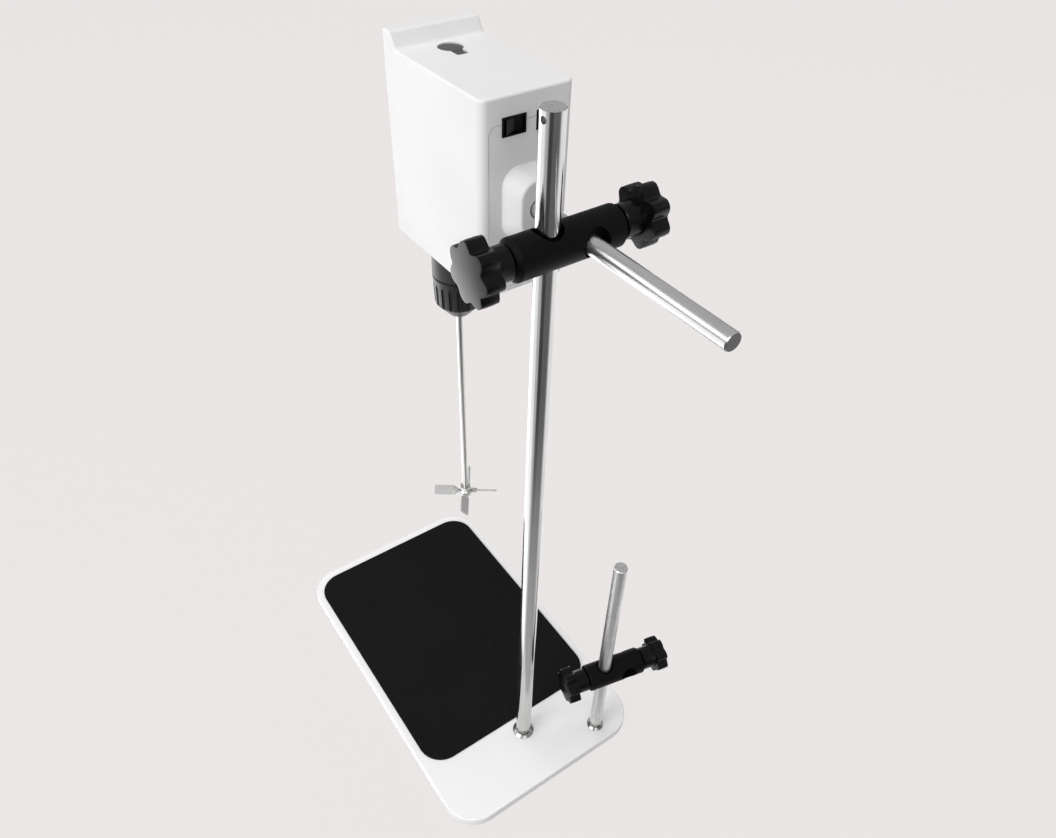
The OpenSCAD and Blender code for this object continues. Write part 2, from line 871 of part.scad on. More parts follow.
// Two plates joined by side walls; the lower plate carries the lower bearing, the upper one the motor
module drive_frame() {
    frame_w = 58;
    reach = 22;
    bottom = head_bottom + wall;
    frame_y0 = spindle_y - reach;
    frame_l = motor_y + motor_r - frame_y0;
    frame_h = frame_top - bottom;
    side_t = 4;
    side_l = 30;
    seat_r = bearing_r + 4;
    seat_h = 12;
    shaft_hole_r = spindle_r + 3;
    color("#9a9da0") difference() {
        union() {
            for (z = [bottom, frame_top - frame_plate_t])
                translate([arm_x - frame_w / 2, frame_y0, z]) cube([frame_w, frame_l, frame_plate_t]);
            for (x = [arm_x - frame_w / 2, arm_x + frame_w / 2 - side_t])
                translate([x, spindle_y + reach, bottom]) cube([side_t, side_l, frame_h]);
            for (z = [bottom, frame_top - seat_h])
                at_spindle(z) cylinder(r = seat_r, h = seat_h);
        }
        at_spindle(lower_bearing_z) cylinder(r = bearing_r + press, h = seat_h);
        at_spindle(upper_bearing_z - past) cylinder(r = bearing_r + press, h = bearing_t + past);
        for (z = [bottom - past, frame_top - seat_h - past])
            at_spindle(z) cylinder(r = shaft_hole_r, h = seat_h + 2 * past);
        at_motor(frame_top - frame_plate_t - past)
            cylinder(r = motor_neck_r + gap, h = frame_plate_t + 2 * past);
        at_motor_screws(frame_top - frame_plate_t - past)
            cylinder(r = motor_screw_r + run, h = frame_plate_t + 2 * past);
    }
}

module frame_screws() {
    head_r = 3.5;
    head_t = 2.6;
    color(steel) {
        at_motor_screws(frame_top) cylinder(r = head_r, h = head_t);
        at_motor_screws(frame_top - motor_screw_l) cylinder(r = motor_screw_r, h = motor_screw_l);
    }
}

module motor_can() {
    can_wall = 2.5;
    cap_t = 8;
    neck_h = 3;
    room = motor_l - 2 * cap_t;
    bush_from = 2;
    color("#57595c") difference() {
        at_motor(motor_bottom) union() {
            cylinder(r = motor_r, h = motor_l);
            translate([0, 0, motor_l]) cylinder(r = motor_neck_r, h = neck_h);
        }
        at_motor(motor_bottom + cap_t) cylinder(r = motor_r - can_wall, h = room);
        at_motor(motor_bottom + bush_from) cylinder(r = motor_shaft_r + run, h = motor_l + neck_h);
        at_motor_screws(frame_top - motor_screw_l - past)
            cylinder(r = motor_screw_r + run, h = motor_screw_l);
    }
}

module motor_rotor() {
    core_r = 15;
    core_l = 34;
    core_bottom = motor_bottom + (motor_l - core_l) / 2;
    shaft_bottom = motor_bottom + 3;
    color(steel) {
        at_motor(shaft_bottom) cylinder(r = motor_shaft_r, h = pulley_z + pulley_h - shaft_bottom);
        at_motor(core_bottom) cylinder(r = core_r, h = core_l);
    }
}

// Flat pulley with a flange at each end
module pulley(r, bore_r) {
    flange_t = 1;
    flange_over = 1.5;
    difference() {
        union() {
            cylinder(r = r, h = pulley_h);
            for (z = [0, pulley_h - flange_t])
                translate([0, 0, z])
                    cylinder(r = r + flange_over, h = flange_t);
        }
        translate([0, 0, -past]) cylinder(r = bore_r + press, h = pulley_h + 2 * past);
    }
}

module motor_pulley() {
    color("#8f9295") at_motor(pulley_z) pulley(motor_pulley_r, motor_shaft_r);
}

module spindle_pulley() {
    color("#8f9295") at_spindle(pulley_z) pulley(spindle_pulley_r, spindle_r);
}

// Outline of a band stretched round two circles on Y: r1 at the origin, r2 at distance c
function band(r1, r2, c, steps = 24) =
    let (lean = asin((r1 - r2) / c))
    concat(
        [for (i = [0:steps]) let (a = 180 - lean + i * (180 + 2 * lean) / steps) r1 * [cos(a), sin(a)]],
        [for (i = [0:steps]) let (a = lean + i * (180 - 2 * lean) / steps) [0, c] + r2 * [cos(a), sin(a)]]
    );

module drive_belt() {
    c = motor_y - spindle_y;
    color("#222223") at_spindle(pulley_z + (pulley_h - belt_h) / 2) linear_extrude(belt_h) difference() {
        polygon(band(spindle_pulley_r + gap + belt_t, motor_pulley_r + gap + belt_t, c));
        polygon(band(spindle_pulley_r + gap, motor_pulley_r + gap, c));
    }
}

module spindle() {
    bottom = ring_top - spindle_nose_l;
    color(steel) at_spindle(bottom) difference() {
        cylinder(r = spindle_r, h = spindle_top - bottom);
        translate([0, 0, -past]) cylinder(r = spindle_bore_r, h = spindle_top - bottom + 2 * past);
    }
}

module bearing(z) {
    color("#b9bbbd") at_spindle(z) difference() {
        cylinder(r = bearing_r, h = bearing_t);
        translate([0, 0, -past]) cylinder(r = spindle_r + run, h = bearing_t + 2 * past);
    }
}

module upper_bearing() {
    bearing(upper_bearing_z);
}

module lower_bearing() {
    bearing(lower_bearing_z);
}

// Chuck

nose_r = 11;
nose_top = sleeve_bottom + 13.5;
body_bottom = sleeve_bottom + 7;
jaw_bottom = sleeve_bottom + 3.5;
jaw_reach = 4.6;
jaw_turn = 30;
spindle_nose_l = 14;

module chuck_ring() {
    chamfer = 1;
    inner_r = chuck_body_r + press;
    color(rubber_grey) at_spindle(ring_bottom) rotate_extrude() polygon([
        [inner_r, 0], [ring_d / 2, 0], [ring_d / 2, ring_l - chamfer],
        [ring_d / 2 - chamfer, ring_l], [inner_r, ring_l]
    ]);
}

// Axis of jaw number n: leans outwards as it goes up
module at_jaw(n) {
    at_spindle(jaw_bottom)
        rotate(jaw_turn + 120 * n)
            translate([jaw_reach, 0, 0])
                rotate([0, jaw_lean, 0])
                    children();
}

module chuck_body() {
    color("#6a6c6e") difference() {
        at_spindle(body_bottom) union() {
            cylinder(r = nose_r, h = nose_top - body_bottom + 1);
            translate([0, 0, nose_top - body_bottom]) cylinder(r = chuck_body_r, h = ring_top - nose_top);
        }
        at_spindle(body_bottom - past) cylinder(r = spindle_bore_r, h = ring_top - body_bottom + 2 * past);
        at_spindle(ring_top - spindle_nose_l) cylinder(r = spindle_r + press, h = spindle_nose_l + past);
        for (n = [0:2])
            at_jaw(n) translate([0, 0, -jaw_l / 2]) cylinder(r = jaw_r + run, h = 2 * jaw_l);
    }
}

// Fluted grip over the jaws, with a rounded nose that the shaft comes out of
module chuck_sleeve() {
    top_r = 21.7;
    grip_r = 21.1;
    collar_l = 5;
    nose_l = 12;
    nose_top_r = 19.6;
    nose_end_r = 9.5;
    flute_r = 1.6;
    flute_out = 0.6;
    mouth_r = 6.5;
    mouth_l = 0.5;
    throat_z = 6.5;
    throat_l = 3;
    room_r = 17.8;
    room_z = 13;
    grip_l = sleeve_l - collar_l - nose_l;
    color(plastic_black) at_spindle(sleeve_bottom) difference() {
        union() {
            cylinder(r1 = nose_end_r, r2 = nose_top_r, h = nose_l);
            translate([0, 0, nose_l]) linear_extrude(grip_l) difference() {
                circle(grip_r);
                for (n = [0:sleeve_flutes - 1])
                    rotate(n * 360 / sleeve_flutes)
                        translate([grip_r + flute_out, 0])
                            circle(flute_r, $fn = 24);
            }
            translate([0, 0, nose_l + grip_l]) cylinder(r = top_r, h = collar_l);
        }
        rotate_extrude() polygon([
            [0, -past], [mouth_r, -past], [mouth_r, mouth_l], [nose_r + run, throat_z],
            [nose_r + run, throat_z + throat_l], [room_r, room_z],
            [room_r, sleeve_l + past], [0, sleeve_l + past]
        ]);
    }
}

module chuck_jaw(n) {
    color("#8b8d8f") difference() {
        at_jaw(n) cylinder(r = jaw_r, h = jaw_l);
        at_spindle(jaw_bottom - jaw_l / 2) cylinder(r = shaft_d / 2 + run, h = 2 * jaw_l);
    }
}

module chuck_jaw_1() {
    chuck_jaw(0);
}

module chuck_jaw_2() {
    chuck_jaw(1);
}

module chuck_jaw_3() {
    chuck_jaw(2);
}

// Stirrer

shaft_below = 9;
shaft_top = head_bottom + 12;
propeller_t = 1.6;
// Flange nut above the propeller: across flats, flange diameter, height and thread; plain nut below it
propeller_nut_size = [10, 14.4, 6, shaft_d];
propeller_lock_nut_h = 5;

module stirring_shaft() {
    bottom = propeller_z - shaft_below;
    color(steel) at_spindle(bottom) cylinder(d = shaft_d, h = shaft_top - bottom);
}

// One arm: a flat root and a blade turned about the arm's own length
module propeller_arm() {
    root_r = 14;
    root_w = 6;
    blade_from = 12.5;
    tip_r = 0.6;
    blade_l = propeller_d / 2 - blade_from;
    translate([0, -root_w / 2, -propeller_t / 2]) cube([root_r, root_w, propeller_t]);
    translate([blade_from + blade_l / 2, 0, 0]) rotate([-blade_pitch, 0, 0])
        translate([0, 0, -propeller_t / 2]) linear_extrude(propeller_t) rounded_rect(blade_l, blade_w, tip_r);
}

module propeller() {
    hub_r = 7;
    color(steel) at_spindle(propeller_z) difference() {
        union() {
            translate([0, 0, -propeller_t / 2]) cylinder(r = hub_r, h = propeller_t);
            for (n = [0:3]) rotate(propeller_turn + 90 * n) propeller_arm();
        }
        translate([0, 0, -blade_w]) cylinder(r = shaft_d / 2 + press, h = 2 * blade_w);
    }
}

module propeller_nuts() {
    color(steel) at_spindle(propeller_z + propeller_t / 2) flange_nut(propeller_nut_size);
    color(steel) at_spindle(propeller_z - propeller_t / 2 - propeller_lock_nut_h) difference() {
        cylinder(d = propeller_nut_size[0] / cos(30), h = propeller_lock_nut_h, $fn = 6);
        translate([0, 0, -past]) cylinder(r = shaft_d / 2 + press, h = propeller_lock_nut_h + 2 * past);
    }
}

base_pad();
base_plate();
base_mat();
column();
column_nut();
column_lock_nut();
accessory_rod();
accessory_nut();
accessory_lock_nut();
clamp_body();
column_knob();
column_stud();
column_pressure_pad();
arm_knob();
arm_stud();
arm_pressure_pad();
small_clamp_body();
small_rod_knob();
small_rod_stud();
small_rod_pressure_pad();
small_free_knob();
small_free_stud();
small_free_pressure_pad();
support_rod();
rod_socket();
head_shell();
front_panel();
display_window();
speed_knob();
speed_encoder();
control_board();
rear_cover();
cover_screws();
switch_body();
switch_rocker();
power_inlet();
inlet_pins();
top_plug();
drive_frame();
frame_screws();
motor_can();
motor_rotor();
motor_pulley();
drive_belt();
spindle_pulley();
spindle();
upper_bearing();
lower_bearing();
chuck_ring();
chuck_body();
chuck_sleeve();
chuck_jaw_1();
chuck_jaw_2();
chuck_jaw_3();
stirring_shaft();
propeller();
propeller_nuts();
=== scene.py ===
"""Looks of an overhead stirrer on a plate stand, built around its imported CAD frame.

Each sub-assembly is a class that models its finer pieces with Blender's operators and dresses them.
"""

import json
import logging
import math
from contextlib import contextmanager
from dataclasses import dataclass, field, replace
from enum import Enum
from typing import Callable, Iterable, Iterator, Sequence

import bmesh
import bpy
from bpy.types import Material, NodeSocket, NodeTree
from mathutils import Matrix, Vector


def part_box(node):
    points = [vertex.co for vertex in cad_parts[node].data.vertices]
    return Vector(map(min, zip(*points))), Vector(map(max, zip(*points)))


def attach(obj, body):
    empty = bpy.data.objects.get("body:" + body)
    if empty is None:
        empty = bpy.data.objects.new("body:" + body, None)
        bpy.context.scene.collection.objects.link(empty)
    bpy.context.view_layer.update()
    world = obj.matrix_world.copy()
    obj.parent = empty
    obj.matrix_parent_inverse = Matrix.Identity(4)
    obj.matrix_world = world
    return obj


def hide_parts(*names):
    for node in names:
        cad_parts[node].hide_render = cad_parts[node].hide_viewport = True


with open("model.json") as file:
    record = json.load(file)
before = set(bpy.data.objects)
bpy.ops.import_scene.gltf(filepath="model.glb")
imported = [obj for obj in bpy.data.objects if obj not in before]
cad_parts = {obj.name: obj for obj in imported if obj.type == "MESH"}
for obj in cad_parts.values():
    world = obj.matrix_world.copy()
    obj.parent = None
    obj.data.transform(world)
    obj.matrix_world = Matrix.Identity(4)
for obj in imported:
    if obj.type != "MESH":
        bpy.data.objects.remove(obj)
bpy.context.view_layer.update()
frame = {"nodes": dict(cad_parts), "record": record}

LOG = logging.getLogger("stirrer")
MM = 0.001
# How far a cutter reaches past what it cuts
PAST = 1 * MM
HOLE_SIDES = 64
# Half the angle between two corners of a hexagon, in degrees
HALF_SIXTH = 30.0
# How closely an edge or a face has to point along an axis
ALONG = 0.999
FACING = 0.9
Point = Sequence[float]
Pair = tuple[float, float]
Triple = tuple[float, float, float]


class Pick(Enum):
    """What an edit-mode selection picks."""

    VERTS = "VERT"
    EDGES = "EDGE"
    FACES = "FACE"


class Join(Enum):
    """How one solid acts on another."""

    CUT = "DIFFERENCE"
    FUSE = "UNION"
    KEEP = "INTERSECT"


class Axis(Enum):
    """A row axis, by its index."""

    X = 0
    Y = 1
    Z = 2


def clear_selection() -> None:
    """Deselect everything, the CAD nodes too."""
    bpy.ops.object.select_all(action="DESELECT")


def pick_all() -> None:
    """Select the whole mesh, in edit mode."""
    bpy.ops.mesh.select_all(action="SELECT")


def move_to(x: float = 0.0, y: float = 0.0, z: float = 0.0) -> Matrix:
    """Return a move, in metres."""
    return Matrix.Translation((x, y, z))


def turn_about(axis: Axis, degrees: float) -> Matrix:
    """Return a turn about a row axis."""
    return Matrix.Rotation(math.radians(degrees), 4, axis.name)


def node_middle(node: str) -> Vector:
    """Return the middle of a CAD node's box."""
    low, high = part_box(node)
    return (low + high) / 2


def runs_along(edge: bmesh.types.BMEdge, axis: Axis) -> bool:
    """Say whether an edge is parallel to a row axis.

    Args:
        edge: The edge.
        axis: The row axis.

    Returns:
        True where the edge has that direction.
    """
    run = edge.verts[1].co - edge.verts[0].co
    return run.length > 0 and abs(run[axis.value]) > ALONG * run.length


def lies_at(edge: bmesh.types.BMEdge, axis: Axis, places: Sequence[float], slack: float = 0.01 * MM) -> bool:
    """Say whether both ends of an edge lie at one of some places along an axis.

    Args:
        edge: The edge.
        axis: The row axis.
        places: Coordinates along the axis.
        slack: How far off an end may be.

    Returns:
        True where the edge lies flat at one of the places.
    """
    return any(all(abs(v.co[axis.value] - p) < slack for v in edge.verts) for p in places)


class Workpiece:
    """A mesh that is modelled with Blender's operators, as by hand."""

    weld = 0.001 * MM

    def __init__(self, obj: bpy.types.Object) -> None:
        """Take over an object."""
        self.obj = obj

    @classmethod
    def start(cls, add: Callable[..., object], **size: object) -> "Workpiece":
        """Add a primitive and put its place into its mesh.

        Args:
            add: The operator that adds it.
            **size: The operator's own values.

        Returns:
            The new piece.
        """
        clear_selection()
        add(**size)
        return cls(bpy.context.object).settle()

    @classmethod
    def block(cls, low: Point, high: Point) -> "Workpiece":
        """Start from a block between two corners, in metres."""
        a, b = Vector(low), Vector(high)
        return cls.start(bpy.ops.mesh.primitive_cube_add, size=1.0, location=(a + b) / 2, scale=b - a)

    @classmethod
    def drum(cls, radius: float, z0: float, z1: float, sides: int = 96) -> "Workpiece":
        """Start from a cylinder on Z, in metres."""
        return cls.start(bpy.ops.mesh.primitive_cylinder_add, vertices=sides, radius=radius, depth=z1 - z0,
                         location=(0, 0, (z0 + z1) / 2))

    @classmethod
    def turned(cls, profile: Sequence[Pair], steps: int = 96) -> "Workpiece":
        """Turn a profile about Z.

        Args:
            profile: Radius and height of each corner, in metres.
            steps: Steps of the full turn.

        Returns:
            The new piece.
        """
        piece = cls.start(bpy.ops.mesh.primitive_plane_add, size=10 * MM)
        with piece.editing():
            pick_all()
            bpy.ops.mesh.merge(type="CENTER")
            bpy.ops.transform.translate(value=(profile[0][0], 0, profile[0][1]))
            for (r0, z0), (r1, z1) in zip(profile, profile[1:]):
                bpy.ops.mesh.extrude_vertices_move(TRANSFORM_OT_translate={"value": (r1 - r0, 0, z1 - z0)})
            pick_all()
            bpy.ops.mesh.spin(steps=steps, angle=math.tau, center=(0, 0, 0), axis=(0, 0, 1))
            pick_all()
            bpy.ops.mesh.remove_doubles(threshold=cls.weld)
            bpy.ops.mesh.normals_make_consistent(inside=False)
        return piece

    def activate(self) -> None:
        """Make this the only selected and the active object."""
        clear_selection()
        self.obj.select_set(True)
        bpy.context.view_layer.objects.active = self.obj

    def settle(self) -> "Workpiece":
        """Put the object's place, turn and scale into its mesh."""
        self.activate()
        bpy.ops.object.transform_apply(location=True, rotation=True, scale=True)
        return self

    def place(self, matrix: Matrix) -> "Workpiece":
        """Move the piece by a matrix and put the move into its mesh."""
        self.obj.matrix_world = matrix
        return self.settle()

    def discard(self) -> None:
        """Delete the piece."""
        bpy.data.objects.remove(self.obj, do_unlink=True)

    def copies(self, places: Iterable[Matrix]) -> list["Workpiece"]:
        """Copy the piece to some places, each copy with a mesh of its own. The piece itself is used up.

        Args:
            places: The move of each copy.

        Returns:
            The copies.
        """
        made = []
        for place in places:
            twin = self.obj.copy()
            twin.data = self.obj.data.copy()
            bpy.context.scene.collection.objects.link(twin)
            made.append(Workpiece(twin).place(place))
        self.discard()
        return made

    @contextmanager
    def editing(self) -> Iterator[None]:
        """Open the piece in edit mode with nothing selected."""
        self.activate()
        bpy.ops.object.mode_set(mode="EDIT")
        bpy.ops.mesh.select_mode(type=Pick.VERTS.value)
        bpy.ops.mesh.select_all(action="DESELECT")
        yield
        bpy.ops.object.mode_set(mode="OBJECT")

    def pick(self, kind: Pick, test: Callable[..., bool]) -> None:
        """Select what passes a test, in edit mode.

        Args:
            kind: Vertices, edges or faces.
            test: Takes one element and says whether it is picked.
        """
        bpy.ops.mesh.select_mode(type=kind.value)
        bpy.ops.mesh.select_all(action="DESELECT")
        mesh = bmesh.from_edit_mesh(self.obj.data)
        for item in {Pick.VERTS: mesh.verts, Pick.EDGES: mesh.edges, Pick.FACES: mesh.faces}[kind]:
            if test(item):
                item.select_set(True)
        mesh.select_flush_mode()
        bmesh.update_edit_mesh(self.obj.data)

    def round_edges(self, test: Callable[..., bool], width: float, segments: int) -> "Workpiece":
        """Bevel the edges that pass a test.

        Args:
            test: Takes an edge and says whether it is rounded.
            width: Size of the rounding, in metres.
            segments: Steps of the rounding.

        Returns:
            The piece itself.
        """
        with self.editing():
            self.pick(Pick.EDGES, test)
            bpy.ops.mesh.bevel(offset=width, segments=segments, affect="EDGES", profile=0.5)
        return self

    def merge_flat_faces(self, angle: float = 1.0) -> "Workpiece":
        """Join neighbouring faces that meet at less than an angle, in degrees."""
        with self.editing():
            pick_all()
            bpy.ops.mesh.dissolve_limited(angle_limit=math.radians(angle))
        return self

    def apply(self, kind: str, **settings: object) -> "Workpiece":
        """Add a modifier and apply it.

        Args:
            kind: The modifier's type.
            **settings: Its settings.

        Returns:
            The piece itself.
        """
        step = self.obj.modifiers.new(kind.lower(), kind)
        for name, value in settings.items():
            setattr(step, name, value)
        self.activate()
        bpy.ops.object.modifier_apply(modifier=step.name)
        return self

    def combine(self, how: Join, *others: "Workpiece") -> "Workpiece":
        """Cut, fuse or trim the piece with others, which are used up.

        Args:
            how: What the others do to this piece.
            *others: The other pieces.

        Returns:
            The piece itself.
        """
        for other in others:
            self.apply("BOOLEAN", operation=how.value, solver="EXACT", object=other.obj)
            other.discard()
        return self

    def join(self, *others: "Workpiece") -> "Workpiece":
        """Put other pieces into this object as loose parts."""
        self.activate()
        for other in others:
            other.obj.select_set(True)
        bpy.ops.object.join()
        return self

    def soften(self, width: float, segments: int = 2, angle: float = 40.0) -> "Workpiece":
        """Round every edge that is sharper than an angle.

        Args:
            width: Size of the rounding, in metres.
            segments: Steps of the rounding.
            angle: Least angle of such an edge, in degrees.

        Returns:
            The piece itself.
        """
        return self.apply("BEVEL", width=width, segments=segments, limit_method="ANGLE",
                          angle_limit=math.radians(angle))

    def smooth(self, angle: float = 35.0, weighted: bool = False) -> "Workpiece":
        """Shade the piece smooth, apart from edges sharper than an angle.

        Args:
            angle: That angle, in degrees.
            weighted: Keep large flat faces flat up to their rounded edges.

        Returns:
            The piece itself.
        """
        self.activate()
        bpy.ops.object.shade_smooth_by_angle(angle=math.radians(angle))
        return self.apply("WEIGHTED_NORMAL", keep_sharp=True) if weighted else self


def opaque(colour: Triple) -> tuple[float, float, float, float]:
    """Return a colour with full alpha, as sockets take it."""
    return (*colour, 1.0)


class Wiring:
    """A node tree that is wired up node by node."""

    def __init__(self, tree: NodeTree) -> None:
        """Take over a tree."""
        self.tree = tree

    @classmethod
    def of(cls, owner: Material | bpy.types.World) -> "Wiring":
        """Switch on an owner's nodes and take them over."""
        owner.use_nodes = True
        return cls(owner.node_tree)

    def feed(self, node: bpy.types.Node, inputs: dict[str | int, object]) -> bpy.types.Node:
        """Fill a node's inputs.

        Args:
            node: The node.
            inputs: By an input's name or index, a value or another node's output.

        Returns:
            The node itself.
        """
        for key, value in inputs.items():
            if isinstance(value, NodeSocket):
                self.tree.links.new(value, node.inputs[key])
            else:
                node.inputs[key].default_value = value
        return node

    def add(self, kind: str, inputs: dict[str | int, object], out: str | int = 0,
            **settings: object) -> NodeSocket:
        """Add a node.

        Args:
            kind: Its type, without the prefix that all shader nodes have.
            inputs: By an input's name or index, a value or another node's output.
            out: The name or index of the output that is wanted.
            **settings: The node's own settings.

        Returns:
            That output.
        """
        node = self.tree.nodes.new(f"ShaderNode{kind}")
        for name, value in settings.items():
            setattr(node, name, value)
        return self.feed(node, inputs).outputs[out]


class Effect(Enum):
    """Surface effects that several finishes share."""

    MOTTLE = "mottle"
    STREAKS = "streaks"
    SPECKS = "specks"


class EffectGroups:
    """The shared node groups, each built once."""

    cloud_margin = 0.3
    streak_margin = 0.25
    streak_detail = 4.0

    def __init__(self) -> None:
        """Build all groups."""
        self.trees: dict[Effect, NodeTree] = {
            Effect.MOTTLE: self._mottle(),
            Effect.STREAKS: self._streaks(),
            Effect.SPECKS: self._specks(),
        }

    @staticmethod
    def _start(effect: Effect, *values: str) -> tuple[Wiring, bpy.types.NodeOutputs]:
        """Start a group that takes a vector and some numbers and puts out a value.

        Args:
            effect: The effect that it makes.
            *values: Names of its number inputs.

        Returns:
            The group's wiring, and what the group is given.
        """
        tree = bpy.data.node_groups.new(effect.value, "ShaderNodeTree")
        tree.interface.new_socket("Vector", in_out="INPUT", socket_type="NodeSocketVector")
        for name in values:
            tree.interface.new_socket(name, in_out="INPUT", socket_type="NodeSocketFloat")
        tree.interface.new_socket("Value", in_out="OUTPUT", socket_type="NodeSocketFloat")
        return Wiring(tree), tree.nodes.new("NodeGroupInput").outputs

    @staticmethod
    def _end(wires: Wiring, value: NodeSocket) -> NodeTree:
        """Let a group put out a value, and return the group."""
        wires.feed(wires.tree.nodes.new("NodeGroupOutput"), {"Value": value})
        return wires.tree

    def _mottle(self) -> NodeTree:
        """Return cloudy noise between a low and a high value."""
        wires, given = self._start(Effect.MOTTLE, "Scale", "Detail", "Low", "High")
        noise = wires.add("TexNoise", {name: given[name] for name in ("Vector", "Scale", "Detail")})
        return self._end(wires, self._spread(wires, given, noise, self.cloud_margin))

    def _streaks(self) -> NodeTree:
        """Return noise drawn out along one axis, between a low and a high value."""
        wires, given = self._start(Effect.STREAKS, "X", "Y", "Z", "Low", "High")
        stretch = wires.add("CombineXYZ", {name: given[name] for name in ("X", "Y", "Z")})
        place = wires.add("VectorMath", {0: given["Vector"], 1: stretch}, operation="MULTIPLY")
        noise = wires.add("TexNoise", {"Vector": place, "Scale": 1.0, "Detail": self.streak_detail})
        return self._end(wires, self._spread(wires, given, noise, self.streak_margin))

    @staticmethod
    def _spread(wires: Wiring, given: bpy.types.NodeOutputs, noise: NodeSocket, margin: float) -> NodeSocket:
        """Spread noise from a group's low to its high value.

        Args:
            wires: The group's wiring.
            given: What the group is given.
            noise: The noise.
            margin: The share at each end that is cut off.

        Returns:
            The spread noise.
        """
        return wires.add("MapRange", {"Value": noise, "From Min": margin, "From Max": 1 - margin,
                                      "To Min": given["Low"], "To Max": given["High"]})

    def _specks(self) -> NodeTree:
        """Return a mask of small separate specks."""
        wires, given = self._start(Effect.SPECKS, "Scale", "Size")
        cells = wires.add("TexVoronoi", {"Vector": given["Vector"], "Scale": given["Scale"]}, "Distance")
        return self._end(wires, wires.add("Math", {0: cells, 1: given["Size"]}, operation="LESS_THAN"))


@dataclass(frozen=True)
class Finish:
    """One surface finish: its colours, gloss and fine structure, with the grain's depth in millimetres, and a
    painted shade on one end where it has one.
    """

    name: str
    colour: Triple
    tint: Triple
    roughness: Pair
    metallic: float = 0.0
    patch_scale: float = 18.0
    patch_detail: float = 4.0
    gloss_detail: float = 6.0
    grain_scale: float = 1800.0
    grain_detail: float = 2.0
    grain_depth: float = 0.03
    bump: float = 0.5
    streaks: Triple | None = None
    streak_patches: float = 0.6
    streak_patch_detail: float = 5.0
    specks: Pair | None = None
    speck_colour: Triple = (0.1, 0.1, 0.1)
    specular: float = 0.5
    coat: float = 0.0
    coat_roughness: float = 0.1
    # Painted shade on an end face: the axis, the place past which the colour turns darker, and that darker
    # colour
    shaded_end: tuple[Axis, float] | None = None
    end_shade_colour: Triple = (0.1, 0.1, 0.099)

    def build(self, groups: EffectGroups) -> Material:
        """Make the material.

        Args:
            groups: The shared effects.

        Returns:
            The material.
        """
        material = bpy.data.materials.new(self.name)
        wires = Wiring.of(material)
        place = wires.add("TexCoord", {}, "Object")

        def effect(kind: Effect, **values: float) -> NodeSocket:
            """Add a shared effect with its own values and return its output."""
            return wires.add("Group", {"Vector": place, **values}, node_tree=groups.trees[kind])

        def mixed(share: NodeSocket, first: object, second: Triple) -> NodeSocket:
            """Blend two colours by a share and return the result."""
            return wires.add("Mix", {"Factor": share, "A": first, "B": opaque(second)}, "Result",
                             data_type="RGBA")

        def clouds(scale: float, detail: float, least: float = 0.0, most: float = 1.0) -> NodeSocket:
            """Add cloudy noise between two values and return its output."""
            return effect(Effect.MOTTLE, Scale=scale, Detail=detail, Low=least, High=most)

        low, high = self.roughness
        if self.streaks:
            run = dict(zip("XYZ", self.streaks))
            height = effect(Effect.STREAKS, **run, Low=0.0, High=1.0)
            gloss = effect(Effect.STREAKS, **run, Low=low, High=high)
            patches = clouds(self.patch_scale, self.streak_patch_detail, most=self.streak_patches)
            colour = mixed(patches, mixed(height, opaque(self.colour), self.tint), self.tint)
        else:
            height = clouds(self.grain_scale, self.grain_detail)
            gloss = clouds(self.patch_scale, self.gloss_detail, low, high)
            patches = clouds(self.patch_scale, self.patch_detail)
            colour = mixed(patches, opaque(self.colour), self.tint)
        if self.specks:
            scale, size = self.specks
            colour = mixed(effect(Effect.SPECKS, Scale=scale, Size=size), colour, self.speck_colour)
        # Painted shade: past the given place the colour turns to the end's darker shade
        if self.shaded_end:
            axis, end = self.shaded_end
            along = wires.add("SeparateXYZ", {"Vector": place}, axis.name)
            painted_end_shade = wires.add("Math", {0: along, 1: end}, operation="GREATER_THAN")
            colour = mixed(painted_end_shade, colour, self.end_shade_colour)
        grain = wires.add("Bump", {
            "Strength": self.bump, "Distance": self.grain_depth * MM, "Height": height})
        wires.feed(wires.tree.nodes["Principled BSDF"], {
            "Base Color": colour, "Roughness": gloss, "Normal": grain, "Metallic": self.metallic,
            "Specular IOR Level": self.specular,
            "Coat Weight": self.coat, "Coat Roughness": self.coat_roughness})
        return material


